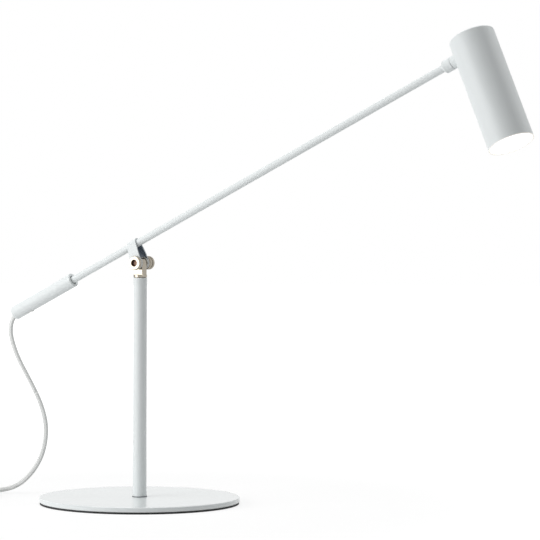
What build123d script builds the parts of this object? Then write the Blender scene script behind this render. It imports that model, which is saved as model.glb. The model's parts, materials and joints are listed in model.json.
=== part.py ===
from build123d import *
import math
import os

# Balance desk lamp: a round base, a slim column, a nickel pivot post that turns in the column,
# a sheet saddle that tilts on the post and grips a long arm, a rod counterweight on the arm's
# tail, and a cylinder shade that turns on the arm's other end.
# Millimetres, +Z up. The origin is the centre of the pad's underside, the arm lies over the
# X axis with the shade at +X, and the hex socket of the pivot screw faces -Y.

# ---------------------------------------------------------------- driving dimensions
# base
BASE_D = 210.0
BASE_T = 5.0
BASE_EDGE = 0.6  # chamfer of the plate's rims
PAD_T = 2.0
PAD_INSET = 0.6
BASE_SCREW_D = 8.0
BASE_SCREW_HEAD_D = 15.5
BASE_SCREW_L = 19.0
BASE_SCREW_HEX = 5.0
# column
COLUMN_D = 14.3
COLUMN_WALL = 1.5
COLUMN_TOP = 236.6  # height of the tube's upper rim
COLUMN_RING_D = 15.6
COLUMN_RING_T = 0.6
FOOT_PLUG_L = 24.0
BUSH_L = 20.0
BUSH_LIP_T = 0.4
# pivot post
SHANK_D = 8.0
POST_COLLAR_T = 3.0
TANG_W = 11.0  # along the arm
TANG_T = 8.3  # along the pivot screw
TANG_EDGE = 0.5
PIVOT_RISE = 15.6  # pivot screw above the column's rim
CLIP_T = 0.8
CLIP_D = 10.4
CLIP_GROOVE = 0.8  # depth of the clip's groove in the shank
SHANK_TAIL = 2.5  # shank below the clip
# pivot screw, nut and washers
SCREW_D = 6.0
KNOB_D = 14.2
KNOB_T = 4.5
KNOB_TEETH = 40
KNOB_TOOTH = 0.35
KNOB_EDGE = 0.5
HEX_SIZE = 6.0
HEX_DEPTH = 3.0
HEX_MOUTH_D = 7.6
NUT_T = 8.0
NUT_GROOVE_W = 0.9
NUT_GROOVE_DEPTH = 0.9
NUT_WASHER_T = 1.5
NUT_WASHER_D = 12.8
FRICTION_WASHER_D = 12.6
FRICTION_WASHER_T = 1.75
# saddle
SADDLE_T = 1.5
SADDLE_TOP_W = 11.0  # along the arm, over the arm
SADDLE_EYE_D = 12.8  # round end of each cheek
SADDLE_LEAN = 1.5  # the top lies this far towards the shade
SADDLE_KNEE = 8.5  # height of the cheeks' bend above the pivot screw
SADDLE_KNEE_R = 4.0
# arm
ARM_TILT = 25.8  # degrees above level, as it stands
ARM_OFFSET = 20.2  # from the pivot screw up to the arm's centre line
ARM_D = 7.6
ARM_WALL = 0.9
# counterweight
WEIGHT_D = 13.1
WEIGHT_L = 85.5
WEIGHT_START = 85.5  # front rim, measured back along the arm from the pivot
WEIGHT_EDGE = 1.4
FRONT_RECESS_D = 10.0
FRONT_RECESS_L = 12.0
REAR_RECESS_D = 10.4
REAR_RECESS_L = 12.0
ARM_SEAT_L = 26.0
CHAMBER_D = 9.4
# lead gland and switch
GLAND_L = 1.8
GLAND_LIP_D = 9.6
GLAND_LIP_T = 1.0
GLAND_D = 8.0
SWITCH_FROM_END = 20.0  # rocker's pin to the counterweight's rear face
SWITCH_CASE_L = 9.4
SWITCH_CASE_W = 5.2
SWITCH_NECK_L = 8.6
SWITCH_NECK_W = 4.2
SWITCH_WALL = 0.5
SWITCH_SET_IN = 0.6  # the case's mouth behind the counterweight's skin
SWITCH_ABOVE = 2.0  # the case's top above the arm's line
ROCKER_ROOM = 1.2  # the pocket's floor above the rocker's pin
ROCKER_PIN_D = 1.2
ROCKER_PIN_DEPTH = 1.9  # below the counterweight's skin
ROCKER_THROW = 12.0  # degrees
ROCKER_PROUD = 0.7
# swivel between arm and shade
SWIVEL_D = 13.2
ARM_COLLAR_L = 10.0
ARM_COLLAR_EDGE = 1.3
HEAD_COLLAR_L = 5.4  # seam to the shade's skin, on the arm's line
SEAM = 0.5
NIPPLE_D = 6.0
NIPPLE_BORE = 4.0
NIPPLE_SEAT_L = 7.5
NIPPLE_TAIL = 0.8  # nipple past its nut
SPIGOT_D = 9.0
SPIGOT_L = 4.6  # past the shade's skin
SPIGOT_NUT_T = 2.2
SPIGOT_NUT_HEX = 12.0
NIPPLE_NUT_T = 2.0
NIPPLE_NUT_HEX = 9.0
INNER_CABLE_D = 3.0
INNER_CABLE_TAIL = 4.0  # cable past the spigot
# shade
HEAD_REACH = 443.6  # from the pivot to the shade's axis, along the arm
HEAD_ROLL = 7.4  # degrees that the shade is turned on the arm, mouth towards -Y
SHADE_D = 45.8
SHADE_WALL = 1.2
SHADE_TOP_T = 1.6
SHADE_TOP_R = 2.0
SHADE_ABOVE = 14.9  # top face above the arm's line
SHADE_L = 118.3
# light engine
DIFFUSER_T = 2.0
DIFFUSER_IN = 0.8  # face behind the rim
REFLECTOR_H = 20.0
REFLECTOR_T = 0.8
REFLECTOR_THROAT_D = 26.0
BOARD_D = 34.0
BOARD_T = 1.6
CHIP = 2.8
CHIP_T = 0.7
CHIP_RING_D = 15.0
CHIPS = 8
SINK_H = 28.0
SINK_CORE_D = 18.0
SINK_FINS = 6
SINK_FIN_T = 1.6
DRIVER_D = 30.0
DRIVER_H = 20.0
LEADS_D = 2.4
LEADS_BEND_R = 8.0
# lead, coil and plug
CORD_D = 5.0
COIL_PITCH = 5.6
COIL_R = 38.9  # first turn
COIL_Z = 3.4
COIL_QUARTERS_IN = 13
COIL_QUARTERS_OUT = 14
COIL_CLIMB_IN = 2.0  # the climbing half turn is this much tighter
TIE_W = 8.0
TIE_T = 0.7
TIE_AT = 4  # the tie sits at this quarter turn of the first layer
TIE_SLACK = 1.6  # inside the bundle
TIE_BEND_R = 2.0
PLUG_TAIL_L = 18.0
PLUG_TAIL_D = 9.0
PLUG_L = 26.0
PLUG_W = 35.0
PLUG_REAR_W = 15.0
PLUG_T = 13.6
PLUG_EDGE = 2.4
PLUG_CORNER_R = 3.0
PIN_D = 4.0
PIN_L = 19.0
PIN_SEAT = 6.0  # depth of a pin in the plug
PIN_NECK_D = 3.2  # under its sleeve
PIN_TIP_R = 1.6
PIN_SPACING = 18.6
PIN_SLEEVE_D = 3.6
PIN_SLEEVE_L = 10.0
# clearances
RUN_FIT = 0.05  # radial, a turning shaft in its hole
SEAT_FIT = 0.05  # radial, a fixed piece in its seat
FACE_GAP = 0.1  # between faces that slide on each other
SIDE_GAP = 0.3  # beside moving pieces

# ---------------------------------------------------------------- what follows from them
PLATE_TOP = PAD_T + BASE_T
TUBE_FOOT = PLATE_TOP + COLUMN_RING_T
TUBE_BORE = COLUMN_D - 2 * COLUMN_WALL
POST_SEAT = COLUMN_TOP + BUSH_LIP_T + FACE_GAP
PIVOT_Z = COLUMN_TOP + PIVOT_RISE
CHEEK_IN = TANG_T / 2 + FACE_GAP + FRICTION_WASHER_T  # inner face of a cheek
CHEEK_OUT = CHEEK_IN + SADDLE_T
WEIGHT_REAR = -(WEIGHT_START + WEIGHT_L)
RECESS_FLOOR = WEIGHT_REAR + REAR_RECESS_L
TUBE_TAIL = -(WEIGHT_START + FRONT_RECESS_L + ARM_SEAT_L)
SHADE_SKIN = HEAD_REACH - SHADE_D / 2  # on the arm's line
SEAM_X = SHADE_SKIN - HEAD_COLLAR_L
ARM_COLLAR_X = SEAM_X - ARM_COLLAR_L
SPIGOT_END = SHADE_SKIN + SPIGOT_L
SHADE_R = SHADE_D / 2
SHADE_IN_R = SHADE_R - SHADE_WALL
SHADE_MOUTH = SHADE_ABOVE - SHADE_L

ARM_FRAME = Location((0, 0, PIVOT_Z), (0, -ARM_TILT, 0))
HEAD_FRAME = ARM_FRAME * Location((HEAD_REACH, 0, ARM_OFFSET), (-HEAD_ROLL, 0, 0))

# The lead's route: out of the counterweight's rear recess, down in a slack S and onto the table.
DROP_ROUTE = [
    (-151.94, 0.0, 201.19),
    (-157.70, 0.0, 198.41),
    (-164.4, 0.0, 192.3),
    (-168.6, 0.2, 183.3),
    (-169.2, 1.2, 170.0),
    (-162.6, 5.4, 147.0),
    (-151.8, 13.2, 122.5),
]
FLOOR_ROUTE = [
    (-142.5, 20.2, 98.2),
    (-138.4, 24.3, 76.0),
    (-139.8, 24.8, 56.0),
    (-144.6, 23.0, 38.0),
    (-154.0, 18.8, 21.5),
    (-167.0, 12.2, 8.0),
    (-183.5, 3.6, 2.5),
]
COIL_ENTRY = (-221.0, -17.1, COIL_Z)
COIL_HEADING = 209.5  # degrees, the way the lead runs into its coil
COIL_RUN_IN = 19.0  # the lead's last straight run, from its last bend to the coil
PLUG_RUN = 23.0  # from the coil to the plug's tail


def ring(outer, inner, height):
    """A tube or washer standing on its lower face, by its two diameters."""
    tube = Cylinder(outer / 2, height, align=(Align.CENTER, Align.CENTER, Align.MIN))
    return tube - Cylinder(inner / 2, height, align=(Align.CENTER, Align.CENTER, Align.MIN))


def rod(diameter, height):
    """A rod standing on its lower face."""
    return Cylinder(diameter / 2, height, align=(Align.CENTER, Align.CENTER, Align.MIN))


def turned(points):
    """A body turned about Z from the (radius, height) corners of its half section."""
    outline = Polyline(*[(r, 0, z) for r, z in points], close=True)
    return revolve(make_face(outline), Axis.Z)


def along_x(solid, x):
    """Lays a piece that stands on the XY plane along +X, from x, on the arm's line."""
    return Pos(x, 0, ARM_OFFSET) * Rot(0, 90, 0) * solid


def along_y(solid, y):
    """Lays a piece that stands on the XY plane along +Y, from y, on the pivot screw's line."""
    return Pos(0, y, 0) * Rot(-90, 0, 0) * solid


def knurled(diameter, height, edge):
    """A disc with straight teeth round its rim and both rims chamfered."""
    root = diameter / 2 - KNOB_TOOTH
    corners = []
    for tooth in range(KNOB_TEETH):
        for share, radius in ((0.0, root), (0.5, diameter / 2)):
            turn = 2 * math.pi * (tooth + share) / KNOB_TEETH
            corners.append((radius * math.cos(turn), radius * math.sin(turn)))
    toothed = extrude(make_face(Polyline(*corners, close=True)), height)
    blank = rod(diameter, height)
    return toothed & chamfer(blank.edges().filter_by(GeomType.CIRCLE), edge)


# ---------------------------------------------------------------- base and column
def base_pad():
    return rod(BASE_D - 2 * PAD_INSET, PAD_T)


def countersink_depth():
    return (BASE_SCREW_HEAD_D - BASE_SCREW_D) / 2


def base_plate():
    plate = rod(BASE_D, BASE_T)
    plate = chamfer(plate.edges().filter_by(GeomType.CIRCLE), BASE_EDGE)
    hole_r = BASE_SCREW_D / 2 + SIDE_GAP
    sink = countersink_depth()
    cut = turned(
        [(0, 0), (hole_r + sink, 0), (hole_r, sink), (hole_r, BASE_T), (0, BASE_T)]
    )
    return Pos(0, 0, PAD_T) * (plate - cut)


def base_screw():
    """Countersunk screw that pulls the column down on the plate."""
    sink = countersink_depth()
    screw = turned(
        [
            (0, 0),
            (BASE_SCREW_HEAD_D / 2, 0),
            (BASE_SCREW_D / 2, sink),
            (BASE_SCREW_D / 2, BASE_SCREW_L - 1),
            (BASE_SCREW_D / 2 - 1, BASE_SCREW_L),
            (0, BASE_SCREW_L),
        ]
    )
    socket = extrude(RegularPolygon(BASE_SCREW_HEX / 2, 6, major_radius=False), sink * 0.6)
    return Pos(0, 0, PAD_T + 0.1) * (screw - socket)


def column_ring():
    return Pos(0, 0, PLATE_TOP) * ring(COLUMN_RING_D, BASE_SCREW_D + 2 * SIDE_GAP, COLUMN_RING_T)


def column_tube():
    return Pos(0, 0, TUBE_FOOT) * ring(COLUMN_D, TUBE_BORE, COLUMN_TOP - TUBE_FOOT)


def foot_plug():
    """Threaded plug fixed in the column's foot, which the base screw enters."""
    plug = ring(TUBE_BORE - 2 * SEAT_FIT, BASE_SCREW_D + 2 * SEAT_FIT, FOOT_PLUG_L)
    return Pos(0, 0, TUBE_FOOT) * plug


def post_bush():
    """Plain bearing in the column's mouth, with a thin lip under the post's collar."""
    bore = SHANK_D + 2 * RUN_FIT
    sleeve = Pos(0, 0, COLUMN_TOP - BUSH_L) * ring(TUBE_BORE - 2 * SEAT_FIT, bore, BUSH_L)
    lip = Pos(0, 0, COLUMN_TOP) * ring(COLUMN_D - 2 * BASE_EDGE, bore, BUSH_LIP_T)
    return sleeve + lip


# ---------------------------------------------------------------- pivot
def pivot_post():
    """Turned shank and collar with a flat tang whose round top carries the pivot screw."""
    clip_z = COLUMN_TOP - BUSH_L - FACE_GAP - CLIP_T
    foot = clip_z - SHANK_TAIL
    groove_r = SHANK_D / 2 - CLIP_GROOVE
    shank = turned(
        [
            (0, foot),
            (SHANK_D / 2 - 0.8, foot),
            (SHANK_D / 2, foot + 0.8),
            (SHANK_D / 2, clip_z - 0.1),
            (groove_r, clip_z - 0.1),
            (groove_r, clip_z + CLIP_T + 0.05),
            (SHANK_D / 2, clip_z + CLIP_T + 0.05),
            (SHANK_D / 2, POST_SEAT),
            (COLUMN_D / 2 - 0.3, POST_SEAT),
            (COLUMN_D / 2, POST_SEAT + 0.3),
            (COLUMN_D / 2, POST_SEAT + POST_COLLAR_T - 0.4),
            (COLUMN_D / 2 - 0.4, POST_SEAT + POST_COLLAR_T),
            (0, POST_SEAT + POST_COLLAR_T),
        ]
    )
    low = POST_SEAT + POST_COLLAR_T - 1 - PIVOT_Z
    side = Rectangle(TANG_W, -low, align=(Align.CENTER, Align.MAX)) + Circle(TANG_W / 2)
    tang = extrude(Plane.XZ * side, TANG_T / 2, both=True)
    rims = tang.faces().filter_by(Axis.Y).edges()
    tang = chamfer(rims.filter_by(lambda e: e.center().Z > low + 0.1), TANG_EDGE)
    hole = along_y(rod(SCREW_D + 2 * RUN_FIT, TANG_T), -TANG_T / 2)
    return shank + Pos(0, 0, PIVOT_Z) * (tang - hole)


def post_clip():
    """Open spring clip in the shank's groove, which keeps the post in the column."""
    bore = SHANK_D - 2 * CLIP_GROOVE + 2 * SEAT_FIT
    clip = ring(CLIP_D, bore, CLIP_T)
    gap = Box(CLIP_D, bore * 0.75, CLIP_T, align=(Align.MIN, Align.CENTER, Align.MIN))
    return Pos(0, 0, COLUMN_TOP - BUSH_L - FACE_GAP - CLIP_T) * (clip - gap)


def touch_point(radius, y, z):
    """Where the line from (y, z) touches the arm's wrap of this radius, on the +Y side."""
    away = math.hypot(y, z - ARM_OFFSET)
    turn = math.atan2(z - ARM_OFFSET, y) + math.acos(radius / away)
    return (radius * math.cos(turn), ARM_OFFSET + radius * math.sin(turn))


def saddle():
    """One strip of sheet bent over the arm, its cheeks spread and then straight at the screw."""
    wrap_in = ARM_D / 2 + SEAT_FIT
    wrap_out = wrap_in + SADDLE_T
    foot = -SADDLE_EYE_D / 2
    slant = math.atan2(CHEEK_IN - wrap_in, ARM_OFFSET - SADDLE_KNEE)
    knee_out = SADDLE_KNEE + SADDLE_T * math.tan(slant / 2)
    in_y, in_z = touch_point(wrap_in, CHEEK_IN, SADDLE_KNEE)
    out_y, out_z = touch_point(wrap_out, CHEEK_OUT, knee_out)
    cheeks = [
        Polyline((in_y, in_z), (CHEEK_IN, SADDLE_KNEE), (CHEEK_IN, foot)),
        Line((CHEEK_IN, foot), (CHEEK_OUT, foot)),
        Polyline((CHEEK_OUT, foot), (CHEEK_OUT, knee_out), (out_y, out_z)),
        ThreePointArc((out_y, out_z), (0, ARM_OFFSET + wrap_out), (-out_y, out_z)),
        Polyline((-out_y, out_z), (-CHEEK_OUT, knee_out), (-CHEEK_OUT, foot)),
        Line((-CHEEK_OUT, foot), (-CHEEK_IN, foot)),
        Polyline((-CHEEK_IN, foot), (-CHEEK_IN, SADDLE_KNEE), (-in_y, in_z)),
        ThreePointArc((-in_y, in_z), (0, ARM_OFFSET + wrap_in), (in_y, in_z)),
    ]
    section = make_face(cheeks)
    knees_in = section.vertices().filter_by(
        lambda v: abs(v.Y - SADDLE_KNEE) < 1e-3 and abs(abs(v.X) - CHEEK_IN) < 1e-3
    )
    section = fillet(knees_in, SADDLE_KNEE_R)
    knees_out = section.vertices().filter_by(
        lambda v: abs(v.Y - knee_out) < 1e-3 and abs(abs(v.X) - CHEEK_OUT) < 1e-3
    )
    section = fillet(knees_out, SADDLE_KNEE_R + SADDLE_T)
    reach = SADDLE_TOP_W + SADDLE_EYE_D
    strip = extrude(Plane.YZ * section, reach / 2, both=True)
    top = ARM_OFFSET + wrap_out + 1
    eye = Circle(SADDLE_EYE_D / 2)
    cap = Pos(SADDLE_LEAN, top - 2) * Rectangle(SADDLE_TOP_W, 4)
    side = make_hull(eye.edges() + cap.edges())
    blank = extrude(Plane.XZ * side, CHEEK_OUT + 1, both=True)
    hole = along_y(rod(SCREW_D + 2 * SEAT_FIT, 2 * CHEEK_OUT), -CHEEK_OUT)
    return (strip & blank) - hole


def pivot_screw():
    """Screw with a knurled head and a hex socket, laid with its head towards -Y."""
    length = 2 * CHEEK_OUT + NUT_WASHER_T + NUT_T - 1.0
    head = knurled(KNOB_D, KNOB_T, KNOB_EDGE)
    socket = extrude(RegularPolygon(HEX_SIZE / 2, 6, major_radius=False), HEX_DEPTH)
    lead_in = (HEX_MOUTH_D - HEX_SIZE) / 2
    mouth = turned([(0, 0), (HEX_MOUTH_D / 2, 0), (HEX_MOUTH_D / 2 - lead_in, lead_in), (0, lead_in)])
    shank = Pos(0, 0, KNOB_T) * chamfer(
        rod(SCREW_D, length).edges().filter_by(GeomType.CIRCLE).sort_by(Axis.Z)[-1], 0.6
    )
    return along_y(head - socket - mouth + shank, -CHEEK_OUT - KNOB_T)


def friction_washers():
    """Two discs between the tang and the cheeks that give the tilt its drag."""
    washer = ring(FRICTION_WASHER_D, SCREW_D + 2 * SEAT_FIT, FRICTION_WASHER_T)
    return [along_y(washer, TANG_T / 2 + FACE_GAP), along_y(washer, -CHEEK_IN)]


def nut_washer():
    washer = ring(NUT_WASHER_D, SCREW_D + 2 * SEAT_FIT, NUT_WASHER_T)
    return along_y(washer, CHEEK_OUT)


def pivot_nut():
    """Knurled round nut with a groove between its two bands."""
    nut = knurled(KNOB_D, NUT_T, KNOB_EDGE) - rod(SCREW_D + 2 * SEAT_FIT, NUT_T)
    middle = (NUT_T - NUT_GROOVE_W) / 2
    groove = ring(KNOB_D + 1, KNOB_D - 2 * NUT_GROOVE_DEPTH, NUT_GROOVE_W)
    return along_y(nut - Pos(0, 0, middle) * groove, CHEEK_OUT + NUT_WASHER_T)


# ---------------------------------------------------------------- arm
def arm_tube():
    length = SEAM_X - NIPPLE_SEAT_L - TUBE_TAIL
    return along_x(ring(ARM_D, ARM_D - 2 * ARM_WALL, length), TUBE_TAIL)


def counterweight():
    """Turned rod: a recess round the arm in front, the arm's seat, a wiring chamber and the
    lead's recess at the rear, with a slot for the switch in its underside."""
    bar = rod(WEIGHT_D, WEIGHT_L)
    rims = bar.edges().filter_by(GeomType.CIRCLE).sort_by(Axis.Z)
    bar = fillet(rims[0], WEIGHT_EDGE)
    bar = chamfer(bar.edges().filter_by(GeomType.CIRCLE).sort_by(Axis.Z)[-1], 0.3)
    chamber_end = WEIGHT_L - FRONT_RECESS_L - ARM_SEAT_L
    wall = REAR_RECESS_L + GLAND_LIP_T
    bar -= rod(REAR_RECESS_D, REAR_RECESS_L)
    bar -= rod(GLAND_LIP_D + 2 * SEAT_FIT, wall)
    bar -= rod(GLAND_D + 2 * SEAT_FIT, chamber_end)
    bar -= Pos(0, 0, wall + GLAND_L) * rod(CHAMBER_D, chamber_end - wall - GLAND_L)
    bar -= Pos(0, 0, chamber_end) * rod(ARM_D + 2 * SEAT_FIT, ARM_SEAT_L)
    bar -= Pos(0, 0, WEIGHT_L - FRONT_RECESS_L) * rod(FRONT_RECESS_D, FRONT_RECESS_L)
    bar = along_x(bar, WEIGHT_REAR)
    slot = Box(
        SWITCH_NECK_L + 2 * SEAT_FIT,
        SWITCH_NECK_W + 2 * SEAT_FIT,
        WEIGHT_D / 2,
        align=(Align.CENTER, Align.CENTER, Align.MAX),
    )
    return bar - Pos(switch_x(), 0, ARM_OFFSET) * slot


def switch_x():
    return WEIGHT_REAR + SWITCH_FROM_END


def lead_gland():
    """Rubber bush at the floor of the rear recess, clamped round the lead."""
    lip = ring(GLAND_LIP_D, CORD_D, GLAND_LIP_T)
    neck = Pos(0, 0, GLAND_LIP_T) * ring(GLAND_D, CORD_D, GLAND_L)
    return along_x(lip + neck, RECESS_FLOOR)


def lead_tail():
    """The lead's end inside the gland, as far as the switch."""
    return along_x(rod(CORD_D, GLAND_LIP_T + GLAND_L), RECESS_FLOOR)


def rocker_pin_z():
    return ARM_OFFSET - WEIGHT_D / 2 + ROCKER_PIN_DEPTH


def switch_case():
    """Moulded case that clips in the counterweight's slot, with a pocket for the rocker."""
    low = ARM_OFFSET - WEIGHT_D / 2 + SWITCH_SET_IN
    step = ARM_OFFSET - math.sqrt((CHAMBER_D / 2) ** 2 - (SWITCH_CASE_W / 2) ** 2) + 0.1
    top = ARM_OFFSET + SWITCH_ABOVE
    neck = Box(SWITCH_NECK_L, SWITCH_NECK_W, step - low + 0.5)
    body = Box(SWITCH_CASE_L, SWITCH_CASE_W, top - step)
    case = Pos(0, 0, (low + step + 0.5) / 2) * neck + Pos(0, 0, (step + top) / 2) * body
    floor = rocker_pin_z() + ROCKER_ROOM
    pocket = Box(
        SWITCH_NECK_L - 2 * SWITCH_WALL,
        SWITCH_NECK_W - 2 * SWITCH_WALL,
        floor - low + 1,
    )
    case -= Pos(0, 0, (floor + low - 1) / 2) * pocket
    pin_hole = rod(ROCKER_PIN_D + 2 * RUN_FIT, SWITCH_CASE_W)
    across = Pos(0, -SWITCH_CASE_W / 2, rocker_pin_z()) * Rot(-90, 0, 0)
    return Pos(switch_x(), 0, 0) * (case - across * pin_hole)


def switch_rocker():
    """Two-faced rocker on its pin. It stands with its rear half pressed in."""
    half = SWITCH_NECK_L / 2 - SWITCH_WALL - SIDE_GAP
    wide = SWITCH_NECK_W - 2 * SWITCH_WALL - 0.4
    skin = -ROCKER_PIN_DEPTH
    outline = [
        (-half + 0.2, 0.5),
        (-half, skin + 0.35),
        (0.0, skin - 0.1),
        (half - 0.1, skin - ROCKER_PROUD),
        (half, 0.2),
        (0.9, 0.8),
        (-0.9, 0.8),
    ]
    body = extrude(Plane.XZ * make_face(Polyline(*outline, close=True)), wide / 2, both=True)
    pin_l = SWITCH_NECK_W - 0.2
    pin = Pos(0, -pin_l / 2, 0) * Rot(-90, 0, 0) * rod(ROCKER_PIN_D, pin_l)
    return Pos(switch_x(), 0, rocker_pin_z()) * (body + pin)


def inner_cable():
    """Two-core cable from the switch through the arm and the swivel into the shade."""
    start = switch_x() + SWITCH_CASE_L / 2
    return along_x(rod(INNER_CABLE_D, SPIGOT_END + INNER_CABLE_TAIL - start), start)


# ---------------------------------------------------------------- swivel
def arm_collar():
    """Collar fixed on the arm's end, its rear rim chamfered, with the nipple's seat."""
    collar = rod(SWIVEL_D, ARM_COLLAR_L)
    rear = collar.edges().filter_by(GeomType.CIRCLE).sort_by(Axis.Z)[0]
    collar = chamfer(rear, ARM_COLLAR_EDGE)
    tube_l = ARM_COLLAR_L - NIPPLE_SEAT_L
    collar -= rod(ARM_D + 2 * SEAT_FIT, tube_l)
    collar -= Pos(0, 0, tube_l) * rod(NIPPLE_D + 2 * SEAT_FIT, NIPPLE_SEAT_L)
    return along_x(collar, ARM_COLLAR_X)


def swivel_nipple():
    """Hollow bolt fixed in the arm's collar that the shade turns on."""
    start = ARM_COLLAR_X + ARM_COLLAR_L - NIPPLE_SEAT_L
    end = SPIGOT_END + SIDE_GAP + NIPPLE_NUT_T + NIPPLE_TAIL
    return along_x(ring(NIPPLE_D, NIPPLE_BORE, end - start), start)


def nipple_nut():
    nut = extrude(RegularPolygon(NIPPLE_NUT_HEX / 2, 6, major_radius=False), NIPPLE_NUT_T)
    return along_x(nut - rod(NIPPLE_D + 2 * SEAT_FIT, NIPPLE_NUT_T), SPIGOT_END + SIDE_GAP)


def head_collar():
    """Collar cut to the shade's curve, with a spigot through the shade's wall."""
    start = SEAM_X + SEAM
    outer = along_x(rod(SWIVEL_D, HEAD_REACH - start), start)
    outer -= Pos(HEAD_REACH, 0, ARM_OFFSET) * Rot(-HEAD_ROLL, 0, 0) * Cylinder(SHADE_R, 4 * SHADE_R)
    spigot = along_x(rod(SPIGOT_D, SPIGOT_END - start), start)
    bore = along_x(rod(NIPPLE_D + 2 * RUN_FIT, SPIGOT_END - start), start)
    return outer + spigot - bore


def spigot_nut():
    seat = HEAD_REACH - math.sqrt(SHADE_IN_R**2 - (SPIGOT_NUT_HEX / math.sqrt(3)) ** 2)
    nut = extrude(RegularPolygon(SPIGOT_NUT_HEX / 2, 6, major_radius=False), SPIGOT_NUT_T)
    return along_x(nut - rod(SPIGOT_D + 2 * SEAT_FIT, SPIGOT_NUT_T), seat)


# ---------------------------------------------------------------- shade and light engine
def shade():
    """Drawn cylinder with a closed, round-edged top and an open mouth."""
    wall = Pos(0, 0, SHADE_MOUTH) * rod(SHADE_D, SHADE_L)
    wall = fillet(wall.edges().filter_by(GeomType.CIRCLE).sort_by(Axis.Z)[-1], SHADE_TOP_R)
    room_h = SHADE_L - SHADE_TOP_T
    room = Pos(0, 0, SHADE_MOUTH) * rod(SHADE_IN_R * 2, room_h)
    inner_r = SHADE_TOP_R - SHADE_WALL
    room = fillet(room.edges().filter_by(GeomType.CIRCLE).sort_by(Axis.Z)[-1], inner_r)
    hole = Rot(0, -90, 0) * rod(SPIGOT_D + 2 * SEAT_FIT, SHADE_D)
    return wall - room - hole


def diffuser():
    """Opal disc just behind the rim, its outer edge softened."""
    disc = rod(2 * (SHADE_IN_R - SEAT_FIT), DIFFUSER_T)
    lower = disc.edges().filter_by(GeomType.CIRCLE).sort_by(Axis.Z)[0]
    return Pos(0, 0, SHADE_MOUTH + DIFFUSER_IN) * chamfer(lower, 0.4)


def reflector_foot():
    return SHADE_MOUTH + DIFFUSER_IN + DIFFUSER_T


def reflector():
    """White cone from the light board down to the diffuser."""
    foot = reflector_foot()
    top = foot + REFLECTOR_H
    wide = SHADE_IN_R - SEAT_FIT
    throat = REFLECTOR_THROAT_D / 2
    return turned(
        [
            (wide - REFLECTOR_T, foot),
            (wide, foot),
            (wide, foot + 2.0),
            (throat + REFLECTOR_T, top),
            (throat, top),
            (wide - REFLECTOR_T, foot + 1.6),
        ]
    )


def light_board():
    return Pos(0, 0, reflector_foot() + REFLECTOR_H) * rod(BOARD_D, BOARD_T)


def light_chips():
    """A ring of square emitters and one in the middle, on the board's lower face."""
    chip = Box(CHIP, CHIP, CHIP_T, align=(Align.CENTER, Align.CENTER, Align.MAX))
    seat = Pos(0, 0, reflector_foot() + REFLECTOR_H)
    around = [Rot(0, 0, 360 * k / CHIPS) * Pos(CHIP_RING_D / 2, 0, 0) * chip for k in range(CHIPS)]
    return [seat * solid for solid in around + [chip]]


def sink_foot():
    return reflector_foot() + REFLECTOR_H + BOARD_T


def heat_sink():
    """Turned core with round fins."""
    body = rod(SINK_CORE_D, SINK_H)
    step = (SINK_H - SINK_FIN_T) / (SINK_FINS - 1)
    for k in range(SINK_FINS):
        body += Pos(0, 0, k * step) * rod(2 * (SHADE_IN_R - SEAT_FIT), SINK_FIN_T)
    return Pos(0, 0, sink_foot()) * body


def driver_can():
    """Potted driver standing on the heat sink."""
    can = rod(DRIVER_D, DRIVER_H)
    top = can.edges().filter_by(GeomType.CIRCLE).sort_by(Axis.Z)[-1]
    return Pos(0, 0, sink_foot() + SINK_H) * chamfer(top, 1.0)


def driver_leads():
    """Leads from the swivel's mouth to the driver's top."""
    start = SPIGOT_END + INNER_CABLE_TAIL + SIDE_GAP - HEAD_REACH
    low = sink_foot() + SINK_H + DRIVER_H
    path = FilletPolyline((start, 0, 0), (0, 0, 0), (0, 0, low), radius=LEADS_BEND_R)
    return tube_along(path, LEADS_D)


# ---------------------------------------------------------------- lead
def tube_along(path, diameter):
    """A round tube along a path, square to it at both ends."""
    start = Plane(origin=path @ 0, z_dir=path % 0)
    return sweep(start * Circle(diameter / 2), path=path)


def corner_radii(points):
    """The largest arc that each corner's two runs allow: 0.45 of the shorter run over the
    tangent of half the turn."""
    radii = []
    for before, here, after in zip(points, points[1:], points[2:]):
        run_in = Vector(*here) - Vector(*before)
        run_out = Vector(*after) - Vector(*here)
        half = math.radians(run_in.get_angle(run_out)) / 2
        radii.append(0.45 * min(run_in.length, run_out.length) / math.tan(half))
    return radii


def free_stretch(name, points):
    """Tube of straight runs joined by tangent arcs. Prints its radii and its volume's ratio to
    section times length."""
    radii = corner_radii(points)
    path = FilletPolyline(*points, radius=radii)
    tube = tube_along(path, CORD_D)
    section = math.pi * CORD_D**2 / 4
    print(name, "radii", [round(r, 1) for r in radii], "length", round(path.length, 1))
    print(name, "volume over section x length", round(tube.volume / (section * path.length), 4))
    return tube


def halfway(a, b):
    return tuple((p + q) / 2 for p, q in zip(a, b))


def heading(degrees):
    return Vector(math.cos(math.radians(degrees)), math.sin(math.radians(degrees)), 0)


def arc_middle(start, end, tangent):
    """The middle point of the arc that leaves start along tangent and ends at end."""
    chord = end - start
    side = tangent - chord * (tangent.dot(chord) / chord.dot(chord))
    half = math.radians(tangent.get_angle(chord)) / 2
    return start + chord * 0.5 + side.normalized() * (chord.length / 2 * math.tan(half))


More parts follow.
